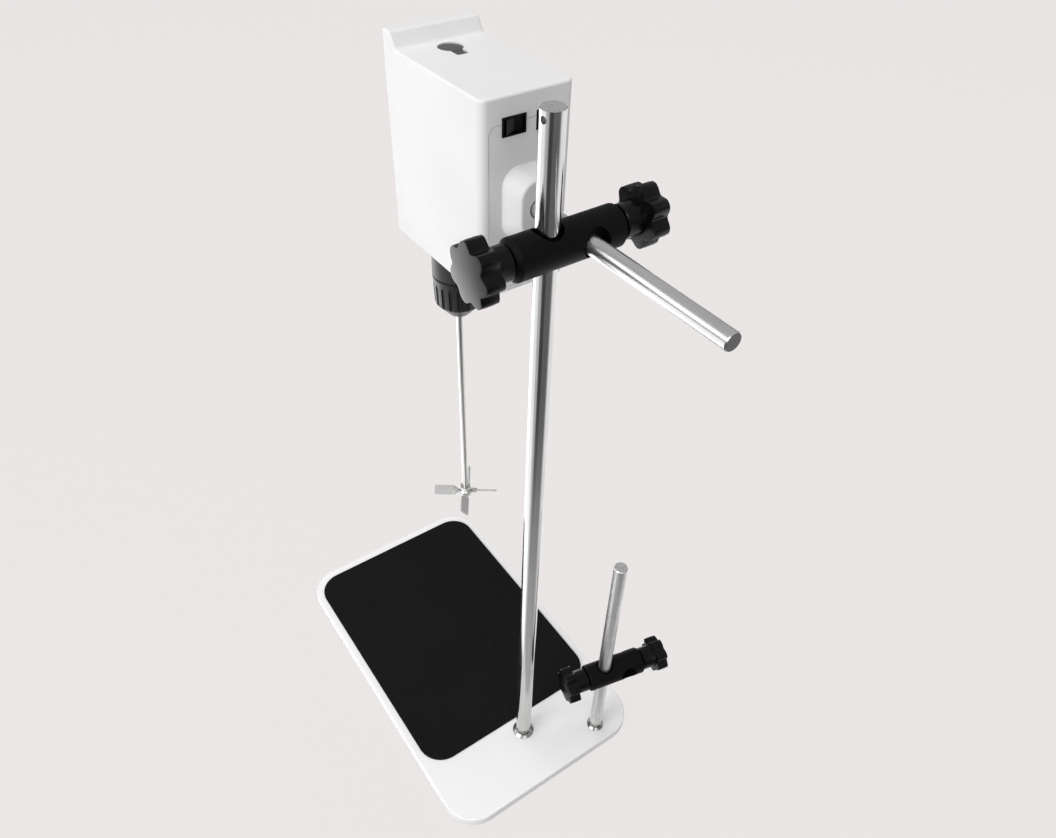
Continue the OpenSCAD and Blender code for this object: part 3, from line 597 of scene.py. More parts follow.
FINISHES: dict[str, Finish] = {
    "base_paint": Finish("white_powder_coat", (0.92, 0.92, 0.915), (0.90, 0.90, 0.895), (0.42, 0.54),
                         patch_scale=9.0, grain_scale=700.0, grain_depth=0.05, specular=0.3),
    "mat_rubber": Finish("speckled_mat", (0.0045, 0.0045, 0.0045), (0.008, 0.008, 0.008), (0.7, 0.9),
                         patch_scale=14.0, grain_scale=1400.0, grain_depth=0.25, specks=(900.0, 0.24),
                         speck_colour=(0.022, 0.022, 0.022), specular=0.12),
    "pad_rubber": Finish("pad_rubber", (0.05, 0.05, 0.05), (0.07, 0.07, 0.07), (0.7, 0.9), grain_depth=0.1),
    "rod_steel": Finish("drawn_steel_up", (0.74, 0.74, 0.735), (0.58, 0.58, 0.575), (0.1, 0.22), metallic=1.0,
                        patch_scale=26.0, streaks=(700.0, 700.0, 9.0), grain_depth=0.004),
    "nut_zinc": Finish("bright_zinc", (0.46, 0.46, 0.45), (0.34, 0.34, 0.33), (0.12, 0.24), metallic=1.0,
                       patch_scale=160.0, grain_scale=2600.0, grain_depth=0.01),
    "clamp_black": Finish("black_anodised", (0.0024, 0.0024, 0.0025), (0.004, 0.004, 0.0041), (0.45, 0.58),
                          patch_scale=30.0, grain_scale=3200.0, grain_depth=0.035, specular=0.1),
    "knob_black": Finish("knob_plastic", (0.0018, 0.0018, 0.0019), (0.003, 0.003, 0.0031), (0.2, 0.3),
                         patch_scale=40.0, grain_scale=2400.0, grain_depth=0.02, specular=0.2),
    "pad_brass": Finish("brass", (0.68, 0.50, 0.22), (0.52, 0.37, 0.15), (0.25, 0.4), metallic=1.0,
                        patch_scale=200.0),
    "head_white": Finish("white_casing", (0.81, 0.81, 0.805), (0.785, 0.785, 0.78), (0.42, 0.54),
                         patch_scale=11.0, grain_scale=2600.0, grain_depth=0.03, specular=0.25),
    "panel_grey": Finish("panel_grey", (0.56, 0.57, 0.57), (0.53, 0.54, 0.54), (0.4, 0.5), grain_depth=0.03),
    "window_dark": Finish("window_dark", (0.012, 0.014, 0.017), (0.016, 0.018, 0.021), (0.05, 0.09),
                          grain_depth=0.002, coat=0.5, coat_roughness=0.04),
    "board_green": Finish("solder_mask", (0.03, 0.13, 0.06), (0.02, 0.10, 0.045), (0.3, 0.45),
                          patch_scale=90.0),
    "socket_alloy": Finish("cast_alloy", (0.55, 0.56, 0.57), (0.46, 0.47, 0.48), (0.4, 0.55), metallic=1.0,
                           grain_scale=900.0, grain_depth=0.06),
    "switch_black": Finish("switch_gloss", (0.002, 0.002, 0.0021), (0.003, 0.003, 0.0031), (0.3, 0.4),
                           patch_scale=120.0, grain_depth=0.008, specular=0.12),
    "frame_alloy": Finish("frame_alloy", (0.52, 0.53, 0.54), (0.44, 0.45, 0.46), (0.42, 0.58), metallic=1.0,
                          grain_scale=900.0, grain_depth=0.06),
    "motor_paint": Finish("motor_paint", (0.045, 0.047, 0.05), (0.06, 0.062, 0.065), (0.4, 0.55),
                          grain_depth=0.03),
    "drive_steel": Finish("turned_steel", (0.60, 0.61, 0.62), (0.48, 0.49, 0.50), (0.2, 0.34), metallic=1.0,
                          patch_scale=60.0, streaks=(60.0, 60.0, 2600.0), grain_depth=0.01),
    "belt_rubber": Finish("belt_rubber", (0.012, 0.012, 0.012), (0.02, 0.02, 0.02), (0.65, 0.85),
                          grain_depth=0.08),
    "ring_grey": Finish("ring_plastic", (0.021, 0.021, 0.0213), (0.027, 0.027, 0.0274), (0.34, 0.44),
                        patch_scale=35.0, grain_scale=2600.0, grain_depth=0.02, specular=0.3),
    "sleeve_black": Finish("sleeve_plastic", (0.003, 0.003, 0.0031), (0.005, 0.005, 0.0051), (0.34, 0.46),
                           patch_scale=45.0, grain_scale=2600.0, grain_depth=0.03, specular=0.3),
    "shaft_steel": Finish("polished_steel", (0.70, 0.70, 0.69), (0.56, 0.56, 0.55), (0.12, 0.24),
                          metallic=1.0, patch_scale=70.0, streaks=(900.0, 900.0, 14.0), grain_depth=0.006),
    "plug_grey": Finish("plug_rubber", (0.072, 0.072, 0.0725), (0.085, 0.085, 0.0855), (0.55, 0.7),
                        patch_scale=80.0, grain_scale=2200.0, grain_depth=0.05),
}


class Wardrobe:
    """All materials, by the record's slots, and what wears them."""

    shaded_end_depth = 0.1 * MM

    def __init__(self) -> None:
        """Build every finish."""
        groups = EffectGroups()
        self.by_slot: dict[str, Material] = {slot: finish.build(groups) for slot, finish in FINISHES.items()}
        # The support rod's end face is painted darker, as shade, from a little way in from its end
        rod_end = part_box("support_rod")[1].y - self.shaded_end_depth
        level_rod = Finish(
            "drawn_steel_level", (0.78, 0.78, 0.775), (0.66, 0.66, 0.655), (0.24, 0.32), metallic=1.0,
            patch_scale=24.0, streaks=(700.0, 9.0, 700.0), grain_depth=0.0015, shaded_end=(Axis.Y, rod_end))
        short_rod = Finish(
            "zinc_rod", (0.88, 0.88, 0.875), (0.58, 0.58, 0.575), (0.3, 0.46), metallic=1.0,
            patch_scale=120.0, streaks=(420.0, 420.0, 40.0), grain_depth=0.006)
        blade = Finish(
            "stamped_steel", (0.53, 0.53, 0.525), (0.48, 0.48, 0.475), (0.5, 0.6), metallic=0.35,
            patch_scale=60.0, grain_scale=1900.0, grain_depth=0.003)
        self.rods: dict[str, Material] = {
            "support_rod": level_rod.build(groups),
            "accessory_rod": short_rod.build(groups),
        }
        self.blade_steel: Material = blade.build(groups)

    def dress_cad_nodes(self) -> None:
        """Give each CAD node the finish of its slot, with the rods' own lines along them."""
        for part in frame["record"]["subparts"]:
            mesh = frame["nodes"][part["node"]].data
            mesh.materials.clear()
            mesh.materials.append(self.rods.get(part["node"], self.by_slot[part["material_slot"]]))

    def dress(self, piece: Workpiece, node: str, make: str, body: str, slot: str,
              finish: Material | None = None) -> None:
        """Let a piece stand for a CAD node.

        Args:
            piece: The piece.
            node: The CAD node.
            make: How it is made, in a word for its name.
            body: The CAD body that it moves with.
            slot: Its material slot.
            finish: Its material, where that isn't the slot's.
        """
        obj = piece.obj
        obj.name = f"{node}_{make}"
        obj.data.name = obj.name
        obj.data.materials.clear()
        obj.data.materials.append(finish or self.by_slot[slot])
        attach(obj, body)
        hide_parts(node)
        LOG.info("%s rides on %s", obj.name, body)


@dataclass
class HexNut:
    """A hexagon nut with chamfered corners, on a conical flange where it has one. Sizes in metres."""

    across_flats: float
    height: float
    bore: float
    flange: float = 0.0
    rim: float = 1.2 * MM
    cone: float = 2.0 * MM
    edge: float = 0.3 * MM
    waist_out: float = 0.5 * MM
    air: float = 0.1 * MM
    face_share: float = 0.96
    chamfer: float = 30.0

    def shape(self) -> Workpiece:
        """Model the nut standing on z = 0, a corner towards X.

        Returns:
            The piece.
        """
        half = self.across_flats / 2
        corner = half / math.cos(math.radians(HALF_SIXTH))
        face = half * self.face_share
        slope = (corner - face) * math.tan(math.radians(self.chamfer))
        wide = corner + self.air
        nut = Workpiece.drum(corner, 0.0, self.height, sides=6).place(turn_about(Axis.Z, HALF_SIXTH))
        lower = [(0, 0), (wide, 0)] if self.flange else [(0, 0), (face, 0), (wide, slope)]
        upper = [(wide, self.height - slope), (face, self.height), (0, self.height)]
        nut.combine(Join.KEEP, Workpiece.turned(lower + upper))
        if self.flange:
            out, e, top = self.flange / 2, self.edge, self.rim + self.cone
            nut.combine(Join.FUSE, Workpiece.turned([
                (0, 0), (out - e, 0), (out, e), (out, self.rim - e), (out - e, self.rim),
                (half + self.waist_out, top), (0, top)]))
        return nut.combine(Join.CUT, Workpiece.drum(self.bore / 2, -PAST, self.height + PAST, HOLE_SIDES))


@dataclass
class Stand:
    """The base plate with its mat, and the nuts at both rods' feet. Sizes in metres."""

    wardrobe: Wardrobe
    corner: float = 34 * MM
    rim: float = 1.3 * MM
    mat_corner: float = 27 * MM
    mat_rim: float = 0.6 * MM
    corner_steps: int = 28
    rim_steps: int = 4
    column_nut: HexNut = field(default_factory=lambda: HexNut(16 * MM, 10 * MM, 10.1 * MM, flange=23 * MM))
    accessory_nut: HexNut = field(default_factory=lambda: HexNut(13 * MM, 8 * MM, 8.1 * MM, flange=18 * MM))
    recess: float = 6 * MM
    recess_air: float = 1 * MM

    def slab(self, node: str, corner: float, rim: float, both_rims: bool) -> Workpiece:
        """Model a flat slab with round corners and soft rims, to a CAD node's box.

        Args:
            node: The CAD node.
            corner: Radius of the upright corners.
            rim: Size of the rims' rounding.
            both_rims: Round the lower rim too.

        Returns:
            The piece.
        """
        low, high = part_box(node)
        slab = Workpiece.block(low, high)
        slab.round_edges(lambda e: runs_along(e, Axis.Z), corner, self.corner_steps)
        rims = [low.z, high.z] if both_rims else [high.z]
        return slab.round_edges(lambda e: lies_at(e, Axis.Z, rims), rim, self.rim_steps)

    def build(self) -> None:
        """Model and dress the stand's pieces."""
        plate = self.slab("base_plate", self.corner, self.rim, both_rims=True)
        low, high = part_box("base_plate")
        for node, nut in (("column_nut", self.column_nut), ("accessory_nut", self.accessory_nut)):
            mid = node_middle(node)
            spot = move_to(mid.x, mid.y)
            room = nut.flange / 2 + self.recess_air
            plate.combine(Join.CUT, Workpiece.drum(nut.bore / 2, 0, high.z + PAST, HOLE_SIDES).place(spot))
            plate.combine(Join.CUT, Workpiece.drum(room, 0, low.z + self.recess).place(spot))
            seated = nut.shape().place(move_to(mid.x, mid.y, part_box(node)[0].z))
            self.wardrobe.dress(seated.smooth(), node, "turned", "base", "nut_zinc")
        self.wardrobe.dress(plate.smooth(weighted=True), "base_plate", "coated", "base", "base_paint")
        mat = self.slab("base_mat", self.mat_corner, self.mat_rim, both_rims=False)
        self.wardrobe.dress(mat.smooth(weighted=True), "base_mat", "rubber", "base", "mat_rubber")


@dataclass
class StarKnob:
    """A star knob on its hub: round lobes with fine grip ribs and a gently domed face.

    Sizes are in metres, angles in degrees.
    """

    diameter: float
    thickness: float
    hub_diameter: float
    hub_length: float
    bore: float
    bore_depth: float
    turn: float
    lobes: int = 7
    steps: int = 24
    notch: float = 0.21
    flatness: float = 1.3
    rim: float = 1.2 * MM
    rim_steps: int = 4
    hub_edge: float = 0.8 * MM
    rib: float = 0.4 * MM
    rib_step: float = 6.6
    rib_sides: int = 10
    rib_end_steps: int = 2
    rib_sunk: float = 0.6
    rib_from_rim: float = 1.6
    dome: float = 1.6 * MM
    dome_rings: int = 10
    shade_angle: float = 30.0

    def reach(self, share: float) -> float:
        """Return the outline's radius at a share of the way from one lobe to the next."""
        wave = (1 - math.cos(math.tau * share)) / 2
        return self.diameter / 2 * (1 - self.notch * wave ** self.flatness)

    def shape(self) -> Workpiece:
        """Model the knob on Z, its hub standing on z = 0.

        Returns:
            The piece.
        """
        radius, bore, hub, e = self.diameter / 2, self.bore / 2, self.hub_diameter / 2, self.hub_edge
        z0, z1 = self.hub_length, self.hub_length + self.thickness
        count = self.lobes * self.steps
        star = Workpiece.drum(radius, z0, z1 + self.dome, sides=count)
        with star.editing():
            for step in range(1, self.steps):
                scale = self.reach(step / self.steps) / radius
                star.pick(Pick.VERTS, lambda v: (
                    round(math.atan2(v.co.y, v.co.x) * count / math.tau) % self.steps == step))
                bpy.ops.transform.resize(value=(scale, scale, 1), center_override=(0, 0, 0))
        star.combine(Join.KEEP, self.domed_drum(radius + PAST, z0 - PAST, z1))
        star.soften(self.rim, self.rim_steps)
        star.combine(Join.CUT, Workpiece.drum(bore, z0 - PAST, self.bore_depth))
        inset = self.rib_from_rim * self.rim
        return star.join(
            Workpiece.turned([(bore, 0), (hub - e, 0), (hub, e), (hub, z0 - 2 * e), (hub + e, z0 + e),
                              (bore, z0 + e), (bore, 0)]),
            *self.ribs(z0 + inset, z1 - inset))

    def domed_drum(self, radius: float, z0: float, z1: float) -> Workpiece:
        """Model a drum with a domed top.

        Args:
            radius: The drum's radius.
            z0: Where it starts.
            z1: The height of the dome's foot.

        Returns:
            The piece.
        """
        shares = [1 - n / self.dome_rings for n in range(self.dome_rings + 1)]
        arc = [(radius * s, z1 + self.dome * (1 - s * s)) for s in shares]
        return Workpiece.turned([(0, z0), (radius, z0), *arc])

    def ribs(self, z0: float, z1: float) -> list[Workpiece]:
        """Model the fine ribs along the lobes' outer sides.

        Args:
            z0: Where the ribs start.
            z1: Where they end.

        Returns:
            One piece for each rib.
        """
        first = Workpiece.drum(self.rib, z0, z1, self.rib_sides)
        first.round_edges(lambda e: lies_at(e, Axis.Z, [z0, z1]), self.rib / 2, self.rib_end_steps)
        places = []
        for lobe in range(self.lobes):
            for side in (-1, 0, 1):
                angle = math.tau * lobe / self.lobes + math.radians(side * self.rib_step)
                r = self.reach(side * self.rib_step * self.lobes / 360) - self.rib * self.rib_sunk
                places.append(move_to(r * math.cos(angle), r * math.sin(angle)))
        return first.copies(places)

    def fit(self, node: str, stand: Matrix, wardrobe: Wardrobe) -> None:
        """Put the knob in place of a CAD knob, which is a body of its own.

        Args:
            node: The CAD node and its body.
            stand: Where the hub stands, Z pointing outwards.
            wardrobe: The materials.
        """
        knob = self.shape().place(stand @ turn_about(Axis.Z, self.turn))
        wardrobe.dress(knob.smooth(self.shade_angle), node, "moulded", node, "knob_black")


@dataclass
class Clamps:
    """The star knobs of both cross clamps. Sizes in metres, angles in degrees."""

    wardrobe: Wardrobe
    large: StarKnob = field(default_factory=lambda: StarKnob(
        43 * MM, 13 * MM, 24 * MM, 14 * MM, 8.04 * MM, 20.5 * MM, 140.0))
    small: StarKnob = field(default_factory=lambda: StarKnob(
        36 * MM, 11 * MM, 23 * MM, 13 * MM, 6.04 * MM, 18.5 * MM, 20.0, rib=0.34 * MM))
    arm_knob_turn: float = 53.0
    free_knob_turn: float = 45.0
    small_clamp_turn: float = -12.0
    small_body: float = 61 * MM
    small_gap: float = 1.2 * MM

    def build(self) -> None:
        """Model and place the four knobs."""
        arm = replace(self.large, turn=self.arm_knob_turn)
        for node, knob, side in (("column_knob", self.large, 1), ("arm_knob", arm, -1)):
            low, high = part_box(node)
            spot = move_to(low.x if side > 0 else high.x, node_middle("clamp_body").y, node_middle(node).z)
            knob.fit(node, spot @ turn_about(Axis.Y, 90 * side), self.wardrobe)
        free = replace(self.small, turn=self.free_knob_turn)
        lie = move_to(*node_middle("small_clamp_body")) @ turn_about(Axis.Z, self.small_clamp_turn)
        reach = self.small_body / 2 + self.small_gap
        for node, knob, side in (("small_rod_knob", self.small, 1), ("small_free_knob", free, -1)):
            knob.fit(node, lie @ move_to(side * reach) @ turn_about(Axis.Y, 90 * side), self.wardrobe)


@dataclass
class HeadCasing:
    """The head's casing, its rear cover and the keyhole plug. Sizes in metres."""

    wardrobe: Wardrobe
    lip_height: float = 10.2 * MM
    lip_crest: float = 13 * MM
    lip_foot: float = 20 * MM
    upright_edge: float = 6 * MM
    upright_steps: int = 14
    edge: float = 1.9 * MM
    edge_steps: int = 5
    edge_angle: float = 25.0
    wall: float = 3 * MM
    seam: float = 0.35 * MM
    opening_air: float = 0.25 * MM
    opening_depth: float = 7 * MM
    screw_hole: float = 1.7 * MM
    screw_sides: int = 32
    screw_head: float = 2.8 * MM
    screw_depth: float = 14 * MM
    post: Triple = (4.5 * MM, 10 * MM, 17.5 * MM)
    cover_corner: float = 6 * MM
    cover_steps: int = 10
    boss_base: Pair = (20.2 * MM, 26.3 * MM)
    boss_face: Pair = (14.0 * MM, 20.1 * MM)
    boss_height: float = 15 * MM
    boss_corner: float = 12 * MM
    boss_steps: int = 14
    boss_rim: float = 1.4 * MM
    boss_rim_steps: int = 4
    rod_hole: float = 7.3 * MM
    socket_room: float = 10.5 * MM
    plug_round: float = 9 * MM
    plug_tab: Pair = (9 * MM, 17.3 * MM)
    plug_tab_corner: float = 1.2 * MM
    plug_tab_steps: int = 4
    plug_flange: float = 1.5 * MM
    plug_pocket: float = 2 * MM
    plug_air: float = 0.3 * MM
    plug_rim: float = 0.5 * MM
    plug_rim_steps: int = 3
    plug_overlap: float = 0.1 * MM
    spindle_hole: float = 15 * MM

    def build(self) -> None:
        """Model and dress the casing's pieces."""
        self.wardrobe.dress(self.shell().smooth(weighted=True), "head_shell", "moulded", "head", "head_white")
        self.wardrobe.dress(self.cover().smooth(weighted=True), "rear_cover", "moulded", "head", "head_white")
        self.wardrobe.dress(self.plug().smooth(), "top_plug", "soft", "plug", "plug_grey")

    def top(self) -> float:
        """Return the height of the casing's top behind the lip."""
        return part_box("head_shell")[1].z - self.lip_height

    @staticmethod
    def spindle_spot() -> Matrix:
        """Return the move to the spindle's axis."""
        mid = node_middle("spindle")
        return move_to(mid.x, mid.y)

    def openings(self) -> list[Workpiece]:
        """Return cutters for the switch's and the inlet's openings."""
        cutters = []
        air = self.opening_air
        for node in ("switch_body", "power_inlet"):
            low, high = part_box(node)
            cutters.append(Workpiece.block((low.x - air, low.y - self.opening_depth, low.z - air),
                                           (high.x + air, high.y + PAST, high.z + air)))
        return cutters

    def screw_places(self) -> Pair:
        """Return where the rear cover's screws are along X."""
        low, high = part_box("cover_screws")
        return low.x + self.screw_head, high.x - self.screw_head

    def screw_holes(self, depth: float) -> list[Workpiece]:
        """Return cutters for the rear cover's screws, into the casing by a depth."""
        low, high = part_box("cover_screws")
        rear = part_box("rear_cover")[0].y + self.wall
        return [Workpiece.drum(self.screw_hole, -depth, PAST, self.screw_sides).place(
            move_to(x, rear, (low.z + high.z) / 2) @ turn_about(Axis.X, -90)) for x in self.screw_places()]

    def lipped_block(self) -> Workpiece:
        """Model the casing as a solid block with a raised front lip and soft edges.

        Returns:
            The piece.
        """
        low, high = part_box("head_shell")
        top, foot = self.top(), low.y + self.lip_foot
        block = Workpiece.block(low, (high.x, high.y, top))
        with block.editing():
            pick_all()
            bpy.ops.mesh.bisect(plane_co=(0, foot, 0), plane_no=(0, 1, 0))
            block.pick(Pick.FACES, lambda f: f.normal.z > FACING and f.calc_center_median().y < foot)
            bpy.ops.mesh.extrude_region_move(TRANSFORM_OT_translate={"value": (0, 0, self.lip_height)})
            block.pick(Pick.VERTS, lambda v: v.co.z > top + MM and v.co.y > foot - MM)
            bpy.ops.transform.translate(value=(0, self.lip_crest - self.lip_foot, 0))
        block.merge_flat_faces()
        block.round_edges(lambda e: runs_along(e, Axis.Z), self.upright_edge, self.upright_steps)
        return block.soften(self.edge, self.edge_steps, self.edge_angle)

    def shell(self) -> Workpiece:
        """Model the casing, hollow and opened where pieces sit in it.

        Returns:
            The piece.
        """
        low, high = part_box("head_shell")
        top, wall, seam = self.top(), self.wall, self.seam
        shell = self.lipped_block()
        shell.combine(Join.CUT, Workpiece.block((low.x + wall, low.y + wall, low.z + wall),
                                                (high.x - wall, high.y - wall, top - wall)))
        half, depth, height = self.post
        inner = high.y - wall
        shell.combine(Join.FUSE, *[Workpiece.block((x - half, inner - depth, low.z + MM),
                                                   (x + half, inner, low.z + height))
                                   for x in self.screw_places()])
        shell.combine(Join.CUT, *self.screw_holes(self.screw_depth))
        shell.combine(Join.CUT, self.cover_plate(seam, PAST), *self.openings())
        panel_low, panel_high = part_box("front_panel")
        shell.combine(Join.CUT, Workpiece.block(
            (panel_low.x - seam, low.y - PAST, panel_low.z - seam),
            (panel_high.x + seam, low.y + wall + PAST, panel_high.z + seam)))
        shell.combine(Join.CUT, self.keyhole(self.plug_air, top - self.plug_pocket, top + PAST))
        shell.combine(Join.CUT, self.keyhole(self.plug_air - self.plug_flange, top - wall - PAST, top + PAST))
        spindle_room = Workpiece.drum(self.spindle_hole, low.z - PAST, low.z + wall + PAST)
        return shell.combine(Join.CUT, spindle_room.place(self.spindle_spot()))

    def cover_plate(self, slack: float, past: float) -> Workpiece:
        """Model the rear cover's flat plate.

        Args:
            slack: How much larger it is all round.
            past: How far it reaches out past the casing.

        Returns:
            The piece.
        """
        low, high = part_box("rear_cover")
        plate = Workpiece.block((low.x - slack, low.y - past, low.z - slack),
                                (high.x + slack, low.y + self.wall + past, high.z + slack))
        return plate.round_edges(lambda e: runs_along(e, Axis.Y), self.cover_corner, self.cover_steps)

    def cover(self) -> Workpiece:
        """Model the rear cover with its soft boss around the rod.

        Returns:
            The piece.
        """
        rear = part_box("rear_cover")[0].y + self.wall
        end = rear + self.boss_height
        rod = node_middle("rod_socket")
        wide, tall = self.boss_base
        face_wide, face_tall = self.boss_face
        boss = Workpiece.block((rod.x - wide, rear - PAST, rod.z - tall), (rod.x + wide, end, rod.z + tall))
        with boss.editing():
            boss.pick(Pick.FACES, lambda f: f.normal.y > FACING)
            bpy.ops.transform.resize(value=(face_wide / wide, 1, face_tall / tall),
                                     center_override=(rod.x, end, rod.z))
        boss.round_edges(lambda e: abs(e.verts[0].co.y - e.verts[1].co.y) > self.boss_height / 2,
                         self.boss_corner, self.boss_steps)
        boss.round_edges(lambda e: lies_at(e, Axis.Y, [end]), self.boss_rim, self.boss_rim_steps)
        cover = self.cover_plate(0.0, 0.0).combine(Join.FUSE, boss)
        lie = move_to(rod.x, rear, rod.z) @ turn_about(Axis.X, -90)
        room = Workpiece.drum(self.socket_room, -2 * self.wall, self.boss_height - self.wall)
        cover.combine(Join.CUT, room.place(lie))
        cover.combine(Join.CUT, Workpiece.drum(self.rod_hole, 0, self.boss_height + PAST).place(lie))
        return cover.combine(Join.CUT, *self.openings(), *self.screw_holes(2 * self.wall))

    def keyhole(self, grow: float, z0: float, z1: float) -> Workpiece:
        """Model a slab with the plug's keyhole outline over the spindle, its tab towards the rear.

        Args:
            grow: How much larger than the plug it is all round.
            z0: Lower height.
            z1: Upper height.

        Returns:
            The piece.
        """
        half, length = self.plug_tab[0] / 2 + grow, self.plug_tab[1] + grow
        slab = Workpiece.drum(self.plug_round + grow, z0, z1)
        tab = Workpiece.block((-half, 0, z0), (half, length, z1))
        tab.round_edges(lambda e: runs_along(e, Axis.Z) and e.verts[0].co.y > length / 2,
                        self.plug_tab_corner, self.plug_tab_steps)
        return slab.combine(Join.FUSE, tab).place(self.spindle_spot())

    def plug(self) -> Workpiece:
        """Model the soft plug in the keyhole.

        Returns:
            The piece.
        """
        low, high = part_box("top_plug")
        seat = self.top() - self.plug_pocket
        head = self.keyhole(0.0, seat, high.z).merge_flat_faces()
        head.round_edges(lambda e: lies_at(e, Axis.Z, [high.z]), self.plug_rim, self.plug_rim_steps)
        return head.combine(Join.FUSE, self.keyhole(-self.plug_flange, low.z, seat + self.plug_overlap))


@dataclass
class FrontKnob:
    """The front knob: a fluted grip on a skirt, with a pointer groove. Sizes in metres."""

    wardrobe: Wardrobe
    grip: float = 13 * MM
    length: float = 13 * MM
    skirt: float = 15 * MM
    flare: float = 3 * MM
    edge: float = 0.8 * MM
    flutes: int = 20
    flute_radius: float = 0.9 * MM
    flute_sides: int = 16
    flute_out: float = 0.25 * MM
    bore: float = 3 * MM
    bore_depth: float = 9 * MM
    bore_sides: int = 48
    pointer_half: float = 0.8 * MM
    pointer_span: Pair = (5 * MM, 14 * MM)
    pointer_depth: float = 0.6 * MM
    shade_angle: float = 30.0

    def build(self) -> None:
        """Model and dress the knob."""
        grip, length, flare, e = self.grip, self.length, self.flare, self.edge
        knob = Workpiece.turned([
            (0, 0), (self.skirt, 0), (self.skirt, flare - e), (self.skirt - e, flare), (grip + e, flare),
            (grip, flare + e), (grip - e, length - e), (grip - 2 * e, length), (0, length)])
        first = Workpiece.drum(self.flute_radius, flare + PAST, length + PAST, self.flute_sides)
        reach = grip + self.flute_out
        angles = [math.tau * n / self.flutes for n in range(self.flutes)]
        flutes = first.copies(move_to(reach * math.cos(a), reach * math.sin(a)) for a in angles)
        knob.combine(Join.CUT, flutes[0].join(*flutes[1:]))
        knob.combine(Join.CUT, Workpiece.drum(self.bore, -PAST, self.bore_depth, self.bore_sides))
        start, end = self.pointer_span
        knob.combine(Join.CUT, Workpiece.block((-self.pointer_half, start, length - self.pointer_depth),
                                               (self.pointer_half, end, length + PAST)))
        mid = node_middle("speed_knob")
        knob.place(move_to(mid.x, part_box("speed_knob")[1].y, mid.z) @ turn_about(Axis.X, 90))
        knob.smooth(self.shade_angle)
        self.wardrobe.dress(knob, "speed_knob", "fluted", "speed_knob", "knob_black")


@dataclass
class Chuck:
    """The chuck's fluted sleeve, with heights from its mouth. Sizes in metres."""

    wardrobe: Wardrobe
    collar_radius: float = 21.7 * MM
    top_radius: float = 21.5 * MM
    end_radius: float = 20.6 * MM
    collar: float = 2.4 * MM
    nose: float = 12 * MM
    nose_radius: float = 9.5 * MM
    shoulder: float = 1.2 * MM
    mouth: float = 6.5 * MM
    mouth_edge: float = 0.5 * MM
    throat: float = 11.05 * MM
    throat_span: Pair = (6.5 * MM, 9.5 * MM)
    room: float = 17.8 * MM
    room_floor: float = 13 * MM
    flutes: int = 18
    flute_radius: float = 1.8 * MM
    flute_sides: int = 24
    flute_out: float = 0.5 * MM
    flute_drop: float = 6.5 * MM
    flute_run_out: float = 6 * MM
    flute_end: float = 1.6 * MM
    flute_end_steps: int = 5
    edge: float = 0.6 * MM
    steps: int = 144
    shade_angle: float = 32.0

    def build(self) -> None:
        """Model and dress the sleeve."""
        low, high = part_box("chuck_sleeve")
        length, e = high.z - low.z, self.edge
        nose, end, out, foot = self.nose, self.end_radius, self.collar_radius, length - self.collar
        throat_low, throat_high = self.throat_span
        sleeve = Workpiece.turned([
            (self.mouth, 0), (self.nose_radius - e, 0), (self.nose_radius, 0.5 * e),
            (end - self.shoulder, nose - e), (end - e, nose), (end, nose + 2 * e),
            (self.top_radius, foot), (out, foot + e), (out, length - e), (out - e, length),
            (self.room, length), (self.room, self.room_floor),
            (self.throat, throat_high), (self.throat, throat_low),
            (self.mouth, self.mouth_edge), (self.mouth, 0)], self.steps)
        lean = math.degrees(math.atan2(self.top_radius - end, foot - nose))
        reach = length - nose - self.flute_drop
        flute = Workpiece.drum(self.flute_radius, -self.flute_run_out, reach, self.flute_sides)
        flute.round_edges(lambda edge: lies_at(edge, Axis.Z, [reach]), self.flute_end, self.flute_end_steps)
        flute.place(move_to(end + self.flute_out, 0, nose) @ turn_about(Axis.Y, lean))
        cutters = flute.copies(turn_about(Axis.Z, 360 * n / self.flutes) for n in range(self.flutes))
        sleeve.combine(Join.CUT, cutters[0].join(*cutters[1:]))
        mid = node_middle("spindle")
        sleeve.place(move_to(mid.x, mid.y, low.z)).smooth(self.shade_angle)
        self.wardrobe.dress(sleeve, "chuck_sleeve", "fluted", "sleeve", "sleeve_black")


